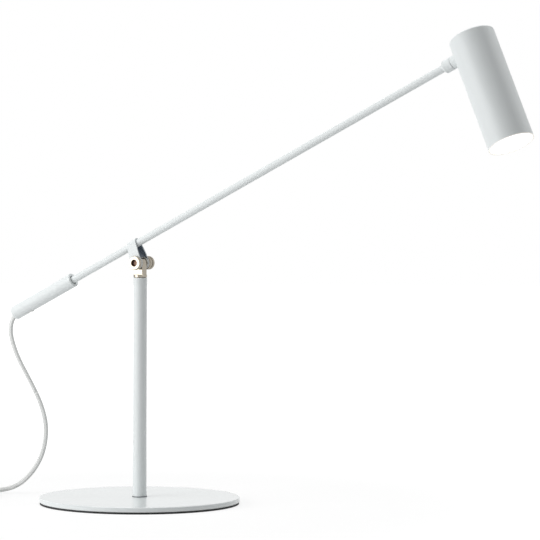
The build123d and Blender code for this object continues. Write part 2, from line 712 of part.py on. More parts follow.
def coil_arcs():
    """The coil's arcs: quarter turns that spiral in on the table, a half turn that climbs one
    layer, and quarter turns that spiral out on top. Gives (start, middle, end) of each, the
    last point and the last heading in degrees."""
    here = Vector(*COIL_ENTRY)
    turn = COIL_HEADING
    radius = COIL_R
    arcs = []

    def quarter(here, turn, radius):
        centre = here + heading(turn + 90) * radius
        middle = centre + heading(turn - 45) * radius
        end = centre + heading(turn) * radius
        arcs.append((here, middle, end))
        return end

    for _ in range(COIL_QUARTERS_IN):
        here = quarter(here, turn, radius)
        turn += 90
        radius -= COIL_PITCH / 4
    radius -= COIL_CLIMB_IN
    over = here + heading(turn + 90) * (2 * radius) + Vector(0, 0, COIL_PITCH)
    span = over - here
    joint = (here + over) * 0.5 + heading(turn) * (span.length / 2)
    arcs.append((here, arc_middle(here, joint, heading(turn)), joint))
    arcs.append((joint, arc_middle(over, joint, heading(turn)), over))
    here = over
    turn += 180
    radius += COIL_CLIMB_IN
    for _ in range(COIL_QUARTERS_OUT):
        here = quarter(here, turn, radius)
        turn += 90
        radius += COIL_PITCH / 4
    return arcs, here, turn


def least_gap(arcs):
    """The least gap of the coil to itself, measured between points on its centre line that are
    more than half a turn apart along it."""
    points = []
    walked = [0.0]
    for start, middle, end in arcs:
        edge = ThreePointArc(start, middle, end)
        for k in range(12):
            points.append(edge @ (k / 12))
            if len(points) > 1:
                walked.append(walked[-1] + (points[-1] - points[-2]).length)
    apart = math.pi * (COIL_R - COIL_QUARTERS_IN * COIL_PITCH / 4)
    least = min(
        (p - q).length
        for i, p in enumerate(points)
        for j, q in enumerate(points[:i])
        if walked[i] - walked[j] > apart
    )
    return least - CORD_D


def lead_coil():
    """The unused length of the lead, wound in two layers as one unbroken tube."""
    arcs, end, turn = coil_arcs()
    first = Vector(*COIL_ENTRY)
    straight_in = Line(first - heading(COIL_HEADING) * CORD_D, first)
    straight_out = Line(end, end + heading(turn) * CORD_D)
    edges = [straight_in] + [ThreePointArc(*arc) for arc in arcs] + [straight_out]
    path = Wire([part.edge() for part in edges])
    print("coil length", round(path.length, 1), "least gap", round(least_gap(arcs), 2))
    return tube_along(path, CORD_D)


def coil_tie():
    """A strap round the bundle, under both layers and over them."""
    arcs, _, _ = coil_arcs()
    middle = arcs[TIE_AT][1]
    centre = sum((arc[1] for arc in arcs[:4]), Vector(0, 0, 0)) / 4
    out = Vector(middle.X - centre.X, middle.Y - centre.Y, 0).normalized()
    inner = COIL_R - COIL_QUARTERS_IN * COIL_PITCH / 4 - CORD_D / 2 - TIE_SLACK
    outer = COIL_R + CORD_D / 2 + COIL_PITCH / 2
    high = COIL_Z + COIL_PITCH + CORD_D / 2 + SIDE_GAP
    low = TIE_T
    outside = Pos((inner + outer) / 2, (low + high) / 2) * RectangleRounded(
        outer - inner + 2 * TIE_T, high - low + 2 * TIE_T, TIE_BEND_R + TIE_T
    )
    inside = Pos((inner + outer) / 2, (low + high) / 2) * RectangleRounded(
        outer - inner, high - low, TIE_BEND_R
    )
    across = Plane(origin=(centre.X, centre.Y, 0), x_dir=out, z_dir=out.cross(Vector(0, 0, 1)))
    return extrude(across * (outside - inside), TIE_W / 2, both=True)


def plug_frame():
    """The plug's place: X along the pins, at the rear end of its tail."""
    _, end, turn = coil_arcs()
    tip = end + heading(turn) * (CORD_D + PLUG_RUN)
    return Location((tip.X, tip.Y, PLUG_T / 2), (0, 0, turn))


def lead_end():
    """The short run from the coil down to the plug's tail."""
    _, end, turn = coil_arcs()
    start = end + heading(turn) * CORD_D
    tip = plug_frame().position
    fall = start + heading(turn) * (PLUG_RUN * 0.3)
    land = Vector(tip.X, tip.Y, tip.Z) - heading(turn) * (PLUG_RUN * 0.3)
    return free_stretch("lead end", [tuple(start), tuple(fall), tuple(land), tuple(tip)])


def plug_tail():
    """Tapered strain relief with three grooves."""
    tail = Rot(0, 90, 0) * turned(
        [
            (CORD_D / 2 + 0.05, 0),
            (CORD_D / 2 + 0.8, 0),
            (PLUG_TAIL_D / 2, PLUG_TAIL_L),
            (CORD_D / 2 + 0.05, PLUG_TAIL_L),
        ]
    )
    for k in range(3):
        groove = ring(PLUG_TAIL_D * 1.5, CORD_D + 1.8 + 0.7 * k, 1.2)
        tail -= Pos(4.0 + 4.4 * k, 0, 0) * Rot(0, 90, 0) * groove
    core = Rot(0, 90, 0) * rod(CORD_D + 0.1, PLUG_TAIL_L)
    return plug_frame() * (tail + core)


def plug_body():
    """Flat two-pin plug: narrow at the lead, wide at the pins."""
    half = PLUG_W / 2
    rear = PLUG_REAR_W / 2
    outline = Polyline(
        (0, -rear),
        (PLUG_L * 0.62, -half),
        (PLUG_L, -half),
        (PLUG_L, half),
        (PLUG_L * 0.62, half),
        (0, rear),
        close=True,
    )
    body = extrude(make_face(outline), PLUG_T / 2, both=True)
    body = fillet(body.edges().filter_by(Axis.Z), PLUG_CORNER_R)
    body = fillet(body.edges().group_by(Axis.Z)[-1] + body.edges().group_by(Axis.Z)[0], PLUG_EDGE)
    hole = rod(PIN_D + 2 * SEAT_FIT, PIN_SEAT)
    holes = [pin_seat(side) * hole for side in (-1, 1)]
    return plug_frame() * (Pos(PLUG_TAIL_L, 0, 0) * body - holes)


def pin_seat(side):
    """The place of one pin: the floor of its hole in the plug's front face, Z out along it."""
    return Pos(PLUG_TAIL_L + PLUG_L - PIN_SEAT, side * PIN_SPACING / 2, 0) * Rot(0, 90, 0)


def plug_pins():
    """Two round pins: full size at the tip, slimmer under the sleeve."""
    covered = PIN_SEAT + PIN_SLEEVE_L
    pin = rod(PIN_NECK_D, covered)
    pin += Pos(0, 0, covered) * rod(PIN_D, PIN_L - PIN_SLEEVE_L)
    pin = fillet(pin.edges().filter_by(GeomType.CIRCLE).sort_by(Axis.Z)[-1], PIN_TIP_R)
    return [plug_frame() * pin_seat(side) * pin for side in (-1, 1)]


def pin_sleeves():
    """Insulating sleeves round the pins' rear halves."""
    sleeve = ring(PIN_SLEEVE_D, PIN_NECK_D + 2 * SEAT_FIT, PIN_SEAT + PIN_SLEEVE_L)
    return [plug_frame() * pin_seat(side) * sleeve for side in (-1, 1)]


# ---------------------------------------------------------------- the assembly
def placed(frame, solids):
    """One solid or a list of them, moved into the arm's or the shade's frame."""
    many = solids if isinstance(solids, list) else [solids]
    return [frame * solid for solid in many]


def drop_end():
    """Where the lead's two free stretches meet: midway along one straight run."""
    return halfway(DROP_ROUTE[-1], FLOOR_ROUTE[0])


def floor_points():
    """The second free stretch: down to the table and level into the coil's mouth."""
    mouth = Vector(*COIL_ENTRY) - heading(COIL_HEADING) * CORD_D
    last_bend = Vector(*COIL_ENTRY) - heading(COIL_HEADING) * COIL_RUN_IN
    return [drop_end()] + FLOOR_ROUTE + [tuple(last_bend), tuple(mouth)]


NODES = {
    "base_pad": [base_pad()],
    "base_plate": [base_plate()],
    "base_screw": [base_screw()],
    "column_ring": [column_ring()],
    "column_tube": [column_tube()],
    "column_foot_plug": [foot_plug()],
    "post_bush": [post_bush()],
    "pivot_post": [pivot_post()],
    "post_clip": [post_clip()],
    "arm_saddle": placed(ARM_FRAME, saddle()),
    "pivot_screw": placed(ARM_FRAME, pivot_screw()),
    "friction_washers": placed(ARM_FRAME, friction_washers()),
    "nut_washer": placed(ARM_FRAME, nut_washer()),
    "pivot_nut": placed(ARM_FRAME, pivot_nut()),
    "arm_tube": placed(ARM_FRAME, arm_tube()),
    "counterweight": placed(ARM_FRAME, counterweight()),
    "lead_gland": placed(ARM_FRAME, lead_gland()),
    "lead_tail": placed(ARM_FRAME, lead_tail()),
    "switch_case": placed(ARM_FRAME, switch_case()),
    "switch_rocker": placed(ARM_FRAME, switch_rocker()),
    "inner_cable": placed(ARM_FRAME, inner_cable()),
    "arm_collar": placed(ARM_FRAME, arm_collar()),
    "swivel_nipple": placed(ARM_FRAME, swivel_nipple()),
    "nipple_nut": placed(ARM_FRAME, nipple_nut()),
    "head_collar": placed(ARM_FRAME, head_collar()),
    "spigot_nut": placed(ARM_FRAME, spigot_nut()),
    "shade": placed(HEAD_FRAME, shade()),
    "diffuser": placed(HEAD_FRAME, diffuser()),
    "reflector": placed(HEAD_FRAME, reflector()),
    "light_board": placed(HEAD_FRAME, light_board()),
    "light_chips": placed(HEAD_FRAME, light_chips()),
    "heat_sink": placed(HEAD_FRAME, heat_sink()),
    "driver_can": placed(HEAD_FRAME, driver_can()),
    "driver_leads": placed(HEAD_FRAME, driver_leads()),
    "lead_drop": [free_stretch("drop", DROP_ROUTE + [drop_end()])],
    "lead_floor": [free_stretch("floor", floor_points())],
    "lead_coil": [lead_coil()],
    "coil_tie": [coil_tie()],
    "lead_end": [lead_end()],
    "plug_tail": [plug_tail()],
    "plug_body": [plug_body()],
    "plug_pins": plug_pins(),
    "pin_sleeves": pin_sleeves(),
}

os.makedirs("parts", exist_ok=True)
for name, solids in NODES.items():
    flat = [solid for item in solids for solid in item.solids()]
    export_step(Compound(children=flat) if len(flat) > 1 else flat[0], f"parts/{name}.step")
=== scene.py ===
# %% [markdown]
# # A white balance desk lamp
# The real lamp is a steel disc with a slim column, a nickel friction pivot on top, and a long
# tube that runs through it. One end of the tube carries a rod counterweight with a rocker
# switch, the other a plain cylinder shade with an opal disc in its mouth. The measured solids
# come in as a fixed frame. What is left for this script is what they can't hold: the soft lead,
# the finishes, the fine work on the screws, and the light.

import bmesh
import bpy
import json
import math
import numpy as np
from mathutils import Matrix, Vector


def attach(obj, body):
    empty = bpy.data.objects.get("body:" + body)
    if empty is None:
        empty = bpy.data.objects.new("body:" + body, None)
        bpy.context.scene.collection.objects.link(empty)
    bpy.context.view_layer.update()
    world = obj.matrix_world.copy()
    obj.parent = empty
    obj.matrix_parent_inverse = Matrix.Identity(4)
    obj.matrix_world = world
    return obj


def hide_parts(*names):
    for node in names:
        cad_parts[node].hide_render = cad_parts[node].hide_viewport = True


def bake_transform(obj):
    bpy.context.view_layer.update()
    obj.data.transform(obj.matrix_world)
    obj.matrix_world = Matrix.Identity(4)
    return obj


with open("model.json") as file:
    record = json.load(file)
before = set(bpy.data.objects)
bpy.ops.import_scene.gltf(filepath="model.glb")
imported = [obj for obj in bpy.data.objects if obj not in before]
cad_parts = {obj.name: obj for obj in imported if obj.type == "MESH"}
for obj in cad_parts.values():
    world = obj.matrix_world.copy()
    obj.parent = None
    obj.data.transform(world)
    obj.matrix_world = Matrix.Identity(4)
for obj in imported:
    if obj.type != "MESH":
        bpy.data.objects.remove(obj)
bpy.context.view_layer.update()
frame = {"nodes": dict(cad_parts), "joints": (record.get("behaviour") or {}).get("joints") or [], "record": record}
NODES = frame["nodes"]

# %% [markdown]
# ## Where the eye stands
# The picture is taken almost level, from 2.7 m away with a long lens, so the verticals stay
# upright and the round base is seen as a flat ellipse. Such a camera is placed by the point it
# stands on and by the way it looks. The way is given as three angles, and a matrix is built from
# the three directions that follow from them: right, up and back.

# %% Camera
EYE = Vector((1.5071, -2.2443, 0.2983))
EYE_HEADING = math.radians(31.0)
EYE_PITCH = math.radians(1.123)
EYE_ROLL = math.radians(0.22)
FOCAL_MM, SENSOR_MM = 171.8, 36.0
FARTHEST = 50.0
LEVEL_RIGHT = Vector((math.cos(EYE_HEADING), math.sin(EYE_HEADING), 0.0))
LEVEL_AHEAD = Vector((-math.sin(EYE_HEADING), math.cos(EYE_HEADING), 0.0))


def eye_directions():
    """Right, up and forward of the camera: the level ones tipped down and then rolled."""
    ahead = LEVEL_AHEAD * math.cos(EYE_PITCH) - Vector((0, 0, math.sin(EYE_PITCH)))
    above = LEVEL_RIGHT.cross(ahead)
    right = LEVEL_RIGHT * math.cos(EYE_ROLL) + above * math.sin(EYE_ROLL)
    return right, right.cross(ahead), ahead


lens = bpy.data.cameras.new("camera")
lens.lens = FOCAL_MM
lens.sensor_width = SENSOR_MM
lens.clip_end = FARTHEST
camera = bpy.data.objects.new("camera", lens)
across, upward, ahead = eye_directions()
turn = Matrix((across, upward, -ahead)).transposed().to_4x4()
camera.matrix_world = Matrix.Translation(EYE) @ turn
bpy.context.scene.collection.objects.link(camera)
bpy.context.scene.camera = camera
bpy.context.scene.view_settings.view_transform = "Standard"
print("camera looks along", tuple(round(c, 3) for c in ahead))

# %% [markdown]
# ## The lead's way
# A mains lead is a fixed length of something springy. Here it leaves the counterweight's rear
# recess, hangs in a slack S and meets the table behind the base. The line is a NURBS spline of
# order three whose control points are the corners of the route, because such a spline rounds its
# corners by itself. The lamp's arm and post move apart from the base, so the lead is two pieces
# that meet in the middle of the hanging stretch.

# %% Route of the lead, in metres
LEAD_D = 0.005
DROP_ROUTE = [
    (-0.15194, 0.0, 0.20119),
    (-0.15770, 0.0, 0.19841),
    (-0.1644, 0.0, 0.1923),
    (-0.1686, 0.0002, 0.1833),
    (-0.1692, 0.0012, 0.1700),
    (-0.1626, 0.0054, 0.1470),
    (-0.1518, 0.0132, 0.1225),
]
FLOOR_ROUTE = [
    (-0.1425, 0.0202, 0.0982),
    (-0.1384, 0.0243, 0.0760),
    (-0.1398, 0.0248, 0.0560),
    (-0.1446, 0.0230, 0.0380),
    (-0.1540, 0.0188, 0.0215),
    (-0.1670, 0.0122, 0.0080),
    (-0.1835, 0.0036, 0.0025),
]
LEAD_JOIN = tuple((p + q) / 2 for p, q in zip(DROP_ROUTE[-1], FLOOR_ROUTE[0]))
print("the two pieces meet at", tuple(round(c, 4) for c in LEAD_JOIN))

# %% [markdown]
# ### The coil
# Everything past the edge of the picture is put away as a neat coil of two layers, with the plug
# beside it. It spirals in on the table quarter by quarter, climbs one layer and spirals out on
# top. A spline cuts its corners, so they stand a little outside the line that the lead takes.

# %% Coil and plug end
COIL_ENTRY = np.array([-0.2210, -0.0171, 0.0034])
COIL_HEADING = 209.5
COIL_R = 0.0389
COIL_PITCH = 0.0056
COIL_CLIMB_IN = 0.0020
QUARTERS_IN = 13
QUARTERS_OUT = 14
QUARTER = (15, 45, 75)
HALF_TURN = (15, 45, 75, 105, 135, 165)
SPLINE_CUT = 0.9662
BEFORE_COIL = 0.019
PLUG_RUN = 0.023
PLUG_HALF = 0.0068
FALL_SHARE = 0.3


def along(degrees):
    """The level unit vector that points this many degrees from +X."""
    return np.array([math.cos(math.radians(degrees)), math.sin(math.radians(degrees)), 0.0])


def arc_corners(here, heading, radius, angles):
    """Centre of a left turn that starts here, and corners at these angles into it. They lie
    outside its radius by as much as a spline with a corner every 30 degrees cuts inside."""
    centre = here + along(heading + 90) * radius
    return centre, [centre + along(heading - 90 + a) * radius / SPLINE_CUT for a in angles]


def spiral(here, heading, radius, quarters, growth):
    """Corners of quarter turns to the left, each wider than the one before by the growth, and
    the point, heading and radius that come after them."""
    points = []
    for _ in range(quarters):
        centre, corners = arc_corners(here, heading, radius, QUARTER)
        points += corners
        here = centre + along(heading) * radius
        heading += 90
        radius += growth
    return points, here, heading, radius


def coil_turns():
    """Corners of the coil: a spiral inwards on the table, a half turn that climbs one layer on
    half a wave of the cosine, and a spiral outwards on top."""
    step = COIL_PITCH / 4
    lower, here, heading, radius = spiral(COIL_ENTRY, COIL_HEADING, COIL_R, QUARTERS_IN, -step)
    radius -= COIL_CLIMB_IN
    centre, climb = arc_corners(here, heading, radius, HALF_TURN)
    for corner, angle in zip(climb, HALF_TURN):
        corner[2] += COIL_PITCH * (0.5 - 0.5 * math.cos(math.radians(angle)))
    here = centre + along(heading + 90) * radius + np.array([0, 0, COIL_PITCH])
    radius += COIL_CLIMB_IN
    upper, here, heading, _ = spiral(here, heading + 180, radius, QUARTERS_OUT, step)
    return lower + climb + upper, here, heading


turns, coil_out, out_heading = coil_turns()
end_start = coil_out + along(out_heading) * LEAD_D
tail_tip = end_start + along(out_heading) * PLUG_RUN
tail_tip[2] = PLUG_HALF
end_fall = end_start + along(out_heading) * PLUG_RUN * FALL_SHARE
end_land = tail_tip - along(out_heading) * PLUG_RUN * FALL_SHARE
run_in = [COIL_ENTRY - along(COIL_HEADING) * back for back in (BEFORE_COIL, LEAD_D)]
run_out = [coil_out, end_start, end_fall, end_land, tail_tip]
DROP_POINTS = DROP_ROUTE + [LEAD_JOIN]
FLOOR_POINTS = [LEAD_JOIN] + FLOOR_ROUTE + [tuple(p) for p in run_in + turns + run_out]
print("control points:", len(DROP_POINTS), "and", len(FLOOR_POINTS))

# %% [markdown]
# ## From spline to points
# The spline has no thickness. Blender turns it into a chain of vertices, and numpy reads them.
# The order and the end condition are set after the points are there, because an empty spline
# would keep order two, which is straight runs.


# %% Read a spline as points
def spline_points(name, control, steps):
    """Points along the NURBS spline of order three through the control polygon."""
    curve = bpy.data.curves.new(name, "CURVE")
    curve.dimensions = "3D"
    spline = curve.splines.new("NURBS")
    spline.points.add(len(control) - 1)
    weighted = np.column_stack([np.array(control), np.ones(len(control))])
    spline.points.foreach_set("co", weighted.ravel())
    spline.order_u = 3
    spline.use_endpoint_u = True
    spline.resolution_u = steps
    holder = bpy.data.objects.new(name, curve)
    bpy.context.scene.collection.objects.link(holder)
    bpy.context.view_layer.update()
    chain = bpy.data.meshes.new_from_object(holder)
    points = np.zeros(len(chain.vertices) * 3)
    chain.vertices.foreach_get("co", points)
    bpy.data.objects.remove(holder)
    bpy.data.curves.remove(curve)
    bpy.data.meshes.remove(chain)
    return points.reshape(-1, 3)


drop_line = spline_points("drop_line", DROP_POINTS, steps=14)
floor_line = spline_points("floor_line", FLOOR_POINTS, steps=10)


def length_of(line):
    """Sum of the steps between neighbouring points."""
    return float(np.linalg.norm(np.diff(line, axis=0), axis=1).sum())


print("lead:", round(length_of(drop_line), 4), "+", round(length_of(floor_line), 4), "m")

# %% [markdown]
# ## Points become a mesh
# Every surface that follows is a grid of points, rows along it and columns round it. Its faces
# are found by counting alone: a point, the next in its row, and the two below these. Where the
# grid closes on itself the count starts again at nought, and an open end gets a fan of triangles
# round its middle.


# %% Helpers for meshes
def grid_mesh(name, grid, closed_u=False, closed_v=False, cap=False):
    """A mesh of smooth quads over a grid of points (rows, columns, 3). cap closes the first and
    the last row with a flat fan."""
    rows, cols = grid.shape[:2]
    i = np.arange(rows if closed_u else rows - 1)[:, None]
    j = np.arange(cols if closed_v else cols - 1)[None, :]
    i2, j2 = (i + 1) % rows, (j + 1) % cols
    quads = np.stack([i * cols + j, i * cols + j2, i2 * cols + j2, i2 * cols + j], axis=-1)
    vertices = grid.reshape(-1, 3)
    faces = quads.reshape(-1, 4).tolist()
    sides = len(faces)
    if cap:
        first = np.arange(cols)
        middles = np.stack([grid[0].mean(0), grid[-1].mean(0)])
        a, b = len(vertices), len(vertices) + 1
        vertices = np.concatenate([vertices, middles])
        last = first + (rows - 1) * cols
        faces += np.stack([np.full(cols, a), np.roll(first, -1), first], 1).tolist()
        faces += np.stack([np.full(cols, b), last, np.roll(last, -1)], 1).tolist()
    mesh = bpy.data.meshes.new(name)
    mesh.from_pydata(vertices.tolist(), [], faces)
    mesh.validate()
    smooth = np.arange(len(mesh.polygons)) < sides
    mesh.polygons.foreach_set("use_smooth", smooth)
    return mesh


def unit(vectors):
    """Each vector over its own length."""
    return vectors / np.linalg.norm(vectors, axis=-1, keepdims=True)


def put(name, mesh):
    """A new object at the origin that holds the mesh."""
    piece = bpy.data.objects.new(name, mesh)
    bpy.context.scene.collection.objects.link(piece)
    return piece

# %% [markdown]
# ## The flat twin lead
# The sheath holds two cores side by side, so its section is 5 mm wide and 3.8 mm thick with a
# shallow waist. It twists a little as it hangs, and that shows as a change of width: broad in
# the low bend, slim where it crosses over. One array gives the sheath's broad direction at each
# point: a mix of the direction across the picture and the line of sight. The lean is the angle
# between the two, in degrees, at a few lengths along the lead. In the coil the broad side stands
# upright.

# %% Twist and section
TWIN_R = 0.0019
WAIST = 0.06
LEAN_AT = [0.0, 0.03, 0.09, 0.15, 0.20, 0.235, 0.26]
LEAN = [34, 36, 54, 14, 8, 35, 50]
COIL_BEGINS = (0.255, 0.275)


def twin_section():
    """A round edge of half the thickness at either end, flat sides between them, and a waist at
    the middle, where the two cores meet: a squared cosine, six percent of the radius deep."""
    flat = LEAD_D / 2 - TWIN_R
    t = np.radians(np.linspace(-90, 90, 9))
    edge = np.stack([flat + TWIN_R * np.cos(t), TWIN_R * np.sin(t)])
    x = np.linspace(flat, -flat, 9)[1:-1]
    side = np.stack([x, TWIN_R * (1 - WAIST * np.cos(math.pi / 2 * x / flat) ** 2)])
    return np.concatenate([edge, side, -edge, -side], axis=1)


whole = np.concatenate([drop_line, floor_line[1:]])
walked = np.concatenate([[0], np.cumsum(np.linalg.norm(np.diff(whole, axis=0), axis=1))])
forward = unit(np.gradient(whole, axis=0))
sight = np.array(ahead)
picture_side = unit(np.cross(forward, sight))
lean = -np.radians(np.interp(walked, LEAN_AT, LEAN))
hanging = picture_side * np.cos(lean)[:, None] + sight * np.sin(lean)[:, None]
coiled = np.interp(walked, COIL_BEGINS, [0.0, 1.0])[:, None]
coil_start = np.searchsorted(walked, COIL_BEGINS[0])
coil_side = np.array([0, 0, np.sign(picture_side[coil_start, 2])])
broad = hanging * (1 - coiled) + coil_side * coiled
broad = unit(broad - forward * np.sum(broad * forward, axis=1, keepdims=True))
narrow = np.cross(forward, broad)
print("the twin section has", twin_section().shape[1], "points, the line", len(whole))

# %% [markdown]
# ### Two pieces of lead
# All rings of a piece are placed in one sum of arrays. The two pieces share the ring at which
# they meet. The upper one hangs between arm and post, the lower one between post and base.


# %% Sheath
def lead_mesh(name, low, high):
    """Rings of the twin section from one point of the lead's line to another: centre, plus x
    along the broad direction, plus y along the narrow one."""
    x, y = twin_section()[:, None, :, None]
    part = slice(low, high)
    rings = whole[part, None] + broad[part, None] * x + narrow[part, None] * y
    return grid_mesh(name, rings, closed_v=True, cap=True)


split = len(drop_line)
lead_upper = put("lead_upper", lead_mesh("lead_upper", 0, split))
lead_lower = put("lead_lower", lead_mesh("lead_lower", split - 1, len(whole)))
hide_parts("lead_drop")
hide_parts("lead_floor", "lead_coil", "lead_end")
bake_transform(lead_upper)
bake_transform(lead_lower)
print("lead pieces:", len(lead_upper.data.polygons), "and", len(lead_lower.data.polygons), "faces")

# %% [markdown]
# ## Where the axes lie
# What follows needs a few centres and axes, in the same metres and directions as the solids.
# The pivot is the centre of the joint that tilts the arm. The post stands on Z and the pivot's
# screw lies along Y. The arm rises at its rest angle, and its own axis passes 20 mm above the
# pivot.

# %% Axes of the lamp
JOINTS = {joint["name"]: joint for joint in frame["joints"]}
PIVOT = tuple(JOINTS["arm_tilt"]["pos_m"])
SCREW_LINE = (0.0, 1.0, 0.0)
POST_LINE = (0.0, 0.0, 1.0)
ARM_TILT = math.radians(25.8)
ARM_LINE = (math.cos(ARM_TILT), 0.0, math.sin(ARM_TILT))
ARM_LIFT = 0.0202
ARM_POINT = (-ARM_LIFT * math.sin(ARM_TILT), 0.0, PIVOT[2] + ARM_LIFT * math.cos(ARM_TILT))
print("arm's axis", tuple(round(c, 3) for c in ARM_LINE), "through", ARM_POINT)

# %% [markdown]
# ## The counterweight
# On the real lamp the counterweight is a turned steel rod, about twice as thick as the arm. The
# picture shows it two millimetres stouter than the measured solid, so it is made anew round the
# same axis. A lathe part is one profile that is swept round. Here the profile is a closed loop,
# outside and inside, and so the mesh is a true solid.

# %% Counterweight, in millimetres along the arm and out from its axis
MM = 0.001
WEIGHT_R = 7.5
WEIGHT_FRONT, WEIGHT_REAR = -85.5, -171.0
FRONT_EDGE, REAR_RIM_R = 0.3, 1.6
FRONT_RECESS_R, FRONT_FLOOR = 5.0, -97.5
ARM_HOLE_R, ARM_END = 3.85, -123.5
CHAMBER_R, CHAMBER_REAR = 4.7, -156.2
GLAND_R, LIP_R, LIP_FLOOR = 4.05, 4.85, -158.0
REAR_RECESS_R, REAR_FLOOR = 5.2, -159.0
SWITCH_AT, SLOT_HALF_L, SLOT_HALF_W = -151.0, 4.35, 2.15
ARM_UP = (-math.sin(ARM_TILT), 0.0, math.cos(ARM_TILT))


def on_arm(s, y, z):
    """Millimetres along the arm, across it and up from its axis, as points in the frame."""
    basis = np.array([ARM_LINE, (0.0, 1.0, 0.0), ARM_UP])
    return np.array(ARM_POINT) + MM * np.stack(np.broadcast_arrays(s, y, z), -1) @ basis


def weight_profile():
    """(place along the arm, radius) of each ring, from the front recess over the outside to the
    rear recess and back through the bore. The rear rim is a quarter circle."""
    slot_front, slot_rear = SWITCH_AT + SLOT_HALF_L, SWITCH_AT - SLOT_HALF_L
    front = [(FRONT_FLOOR, ARM_HOLE_R), (FRONT_FLOOR, FRONT_RECESS_R)]
    front += [(WEIGHT_FRONT, FRONT_RECESS_R), (WEIGHT_FRONT, WEIGHT_R - FRONT_EDGE)]
    outside = [(WEIGHT_FRONT - FRONT_EDGE, WEIGHT_R), (slot_front, WEIGHT_R), (slot_rear, WEIGHT_R)]
    t = np.radians(np.linspace(0, 90, 8))
    rim_s = WEIGHT_REAR + REAR_RIM_R - REAR_RIM_R * np.sin(t)
    rim_r = WEIGHT_R - REAR_RIM_R + REAR_RIM_R * np.cos(t)
    rear = [(WEIGHT_REAR, REAR_RECESS_R), (REAR_FLOOR, REAR_RECESS_R), (REAR_FLOOR, LIP_R)]
    gland = [(LIP_FLOOR, LIP_R), (LIP_FLOOR, GLAND_R), (CHAMBER_REAR, GLAND_R)]
    chamber = [(place, CHAMBER_R) for place in (CHAMBER_REAR, slot_rear, slot_front, ARM_END)]
    rim = np.stack([rim_s, rim_r], -1).tolist()
    return np.array(front + outside + rim + rear + gland + chamber + [(ARM_END, ARM_HOLE_R)])


print("the counterweight's profile has", len(weight_profile()), "corners")

# %% [markdown]
# ### The sweep and its slot
# The slot for the switch is a hole in two walls of the sweep, the skin and the chamber's. A hole
# in a grid follows its columns. So each ring sets its angles in such a way that five columns
# stay at the same places across the slot, whatever the ring's radius. The faces between them are
# left out, and four walls join the two holes.

# %% Sweep the profile
SLOT_COLUMNS, ROUND_COLUMNS = 5, 72


def solid_mesh(name, points, faces):
    """A closed mesh with its faces turned outward, smooth but for edges over 30 degrees."""
    mesh = bpy.data.meshes.new(name)
    mesh.from_pydata(np.asarray(points).tolist(), [], faces)
    shell = bmesh.new()
    shell.from_mesh(mesh)
    bmesh.ops.recalc_face_normals(shell, faces=shell.faces)
    open_edges = sum(not edge.is_manifold for edge in shell.edges)
    shell.to_mesh(mesh)
    shell.free()
    mesh.polygons.foreach_set("use_smooth", np.ones(len(mesh.polygons), bool))
    mesh.set_sharp_from_angle(angle=math.radians(30))
    print(name, len(mesh.polygons), "faces,", open_edges, "open edges")
    return mesh


def weight_mesh(name):
    """Ring points: across is the radius times the sine of the angle from the underside, up is
    minus the radius times its cosine. The slot's walls join the two holes edge by edge."""
    s, r = weight_profile().T
    width = np.linspace(-SLOT_HALF_W, SLOT_HALF_W, SLOT_COLUMNS)
    in_slot = np.arcsin(width[None, :] / r[:, None])
    share = np.linspace(0, 1, ROUND_COLUMNS + 2)[None, 1:-1]
    around = in_slot[:, -1:] + share * (2 * math.pi - 2 * in_slot[:, -1:])
    angle = np.concatenate([in_slot, around], axis=1)
    grid = on_arm(s[:, None], r[:, None] * np.sin(angle), -r[:, None] * np.cos(angle))
    rows, cols = grid.shape[:2]
    index = np.arange(rows * cols).reshape(rows, cols)
    below, beside = np.roll(index, -1, axis=0), np.roll(index, -1, axis=1)
    quads = np.stack([index, beside, np.roll(below, -1, axis=1), below], -1)
    outer_row = int(np.flatnonzero(s == SWITCH_AT + SLOT_HALF_L)[0])
    inner_row = int(np.flatnonzero(s == SWITCH_AT - SLOT_HALF_L)[-1])
    kept = np.ones((rows, cols), bool)
    kept[[outer_row, inner_row], : SLOT_COLUMNS - 1] = False
    slot = index[:, :SLOT_COLUMNS]
    outer = np.concatenate([slot[outer_row], slot[outer_row + 1, ::-1]])
    inner = np.concatenate([slot[inner_row + 1], slot[inner_row, ::-1]])
    walls = np.stack([outer, inner, np.roll(inner, -1), np.roll(outer, -1)], -1)
    return solid_mesh(name, grid.reshape(-1, 3), quads[kept].tolist() + walls.tolist())


weight_rod = put("weight_rod", weight_mesh("weight_rod"))
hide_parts("counterweight")
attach(weight_rod, "arm")

# %% [markdown]
# ## The switch in its slot
# The rocker has to stand proud of the stouter weight by the same 0.7 mm as the measured one does
# of its own. Its side view is a seven-cornered outline with the rear half pressed in. It is
# pulled out to a width of 2.8 mm, and its pin goes through it. Places and heights of the corners
# are millimetres from the pin.

# %% Rocker
PIN_UP = -4.65
PIN_R, PIN_HALF_L = 0.6, 2.0
SKIN = -WEIGHT_R - PIN_UP
PROUD = 0.7
ROCKER_HALF_W = 1.4
ROCKER_SIDE = [
    (-3.3, 0.5),
    (-3.5, SKIN + 0.35),
    (0.0, SKIN - 0.1),
    (3.05, SKIN - PROUD),
    (3.5, 0.2),
    (0.9, 0.8),
    (-0.9, 0.8),
]


def prism(outline, half, first=0):
    """Corners and faces of an outline in (along, up), pulled out to both sides of the arm's
    plane. Faces are the two ends and one side for each edge of the outline."""
    outline = np.array(outline)
    n = len(outline)
    corners = np.concatenate([np.insert(outline, 1, side * half, axis=1) for side in (-1, 1)])
    near = np.arange(first, first + n)
    far = near + n
    sides = np.stack([near, np.roll(near, -1), np.roll(far, -1), far], -1)
    return corners, [near.tolist(), far[::-1].tolist()] + sides.tolist()


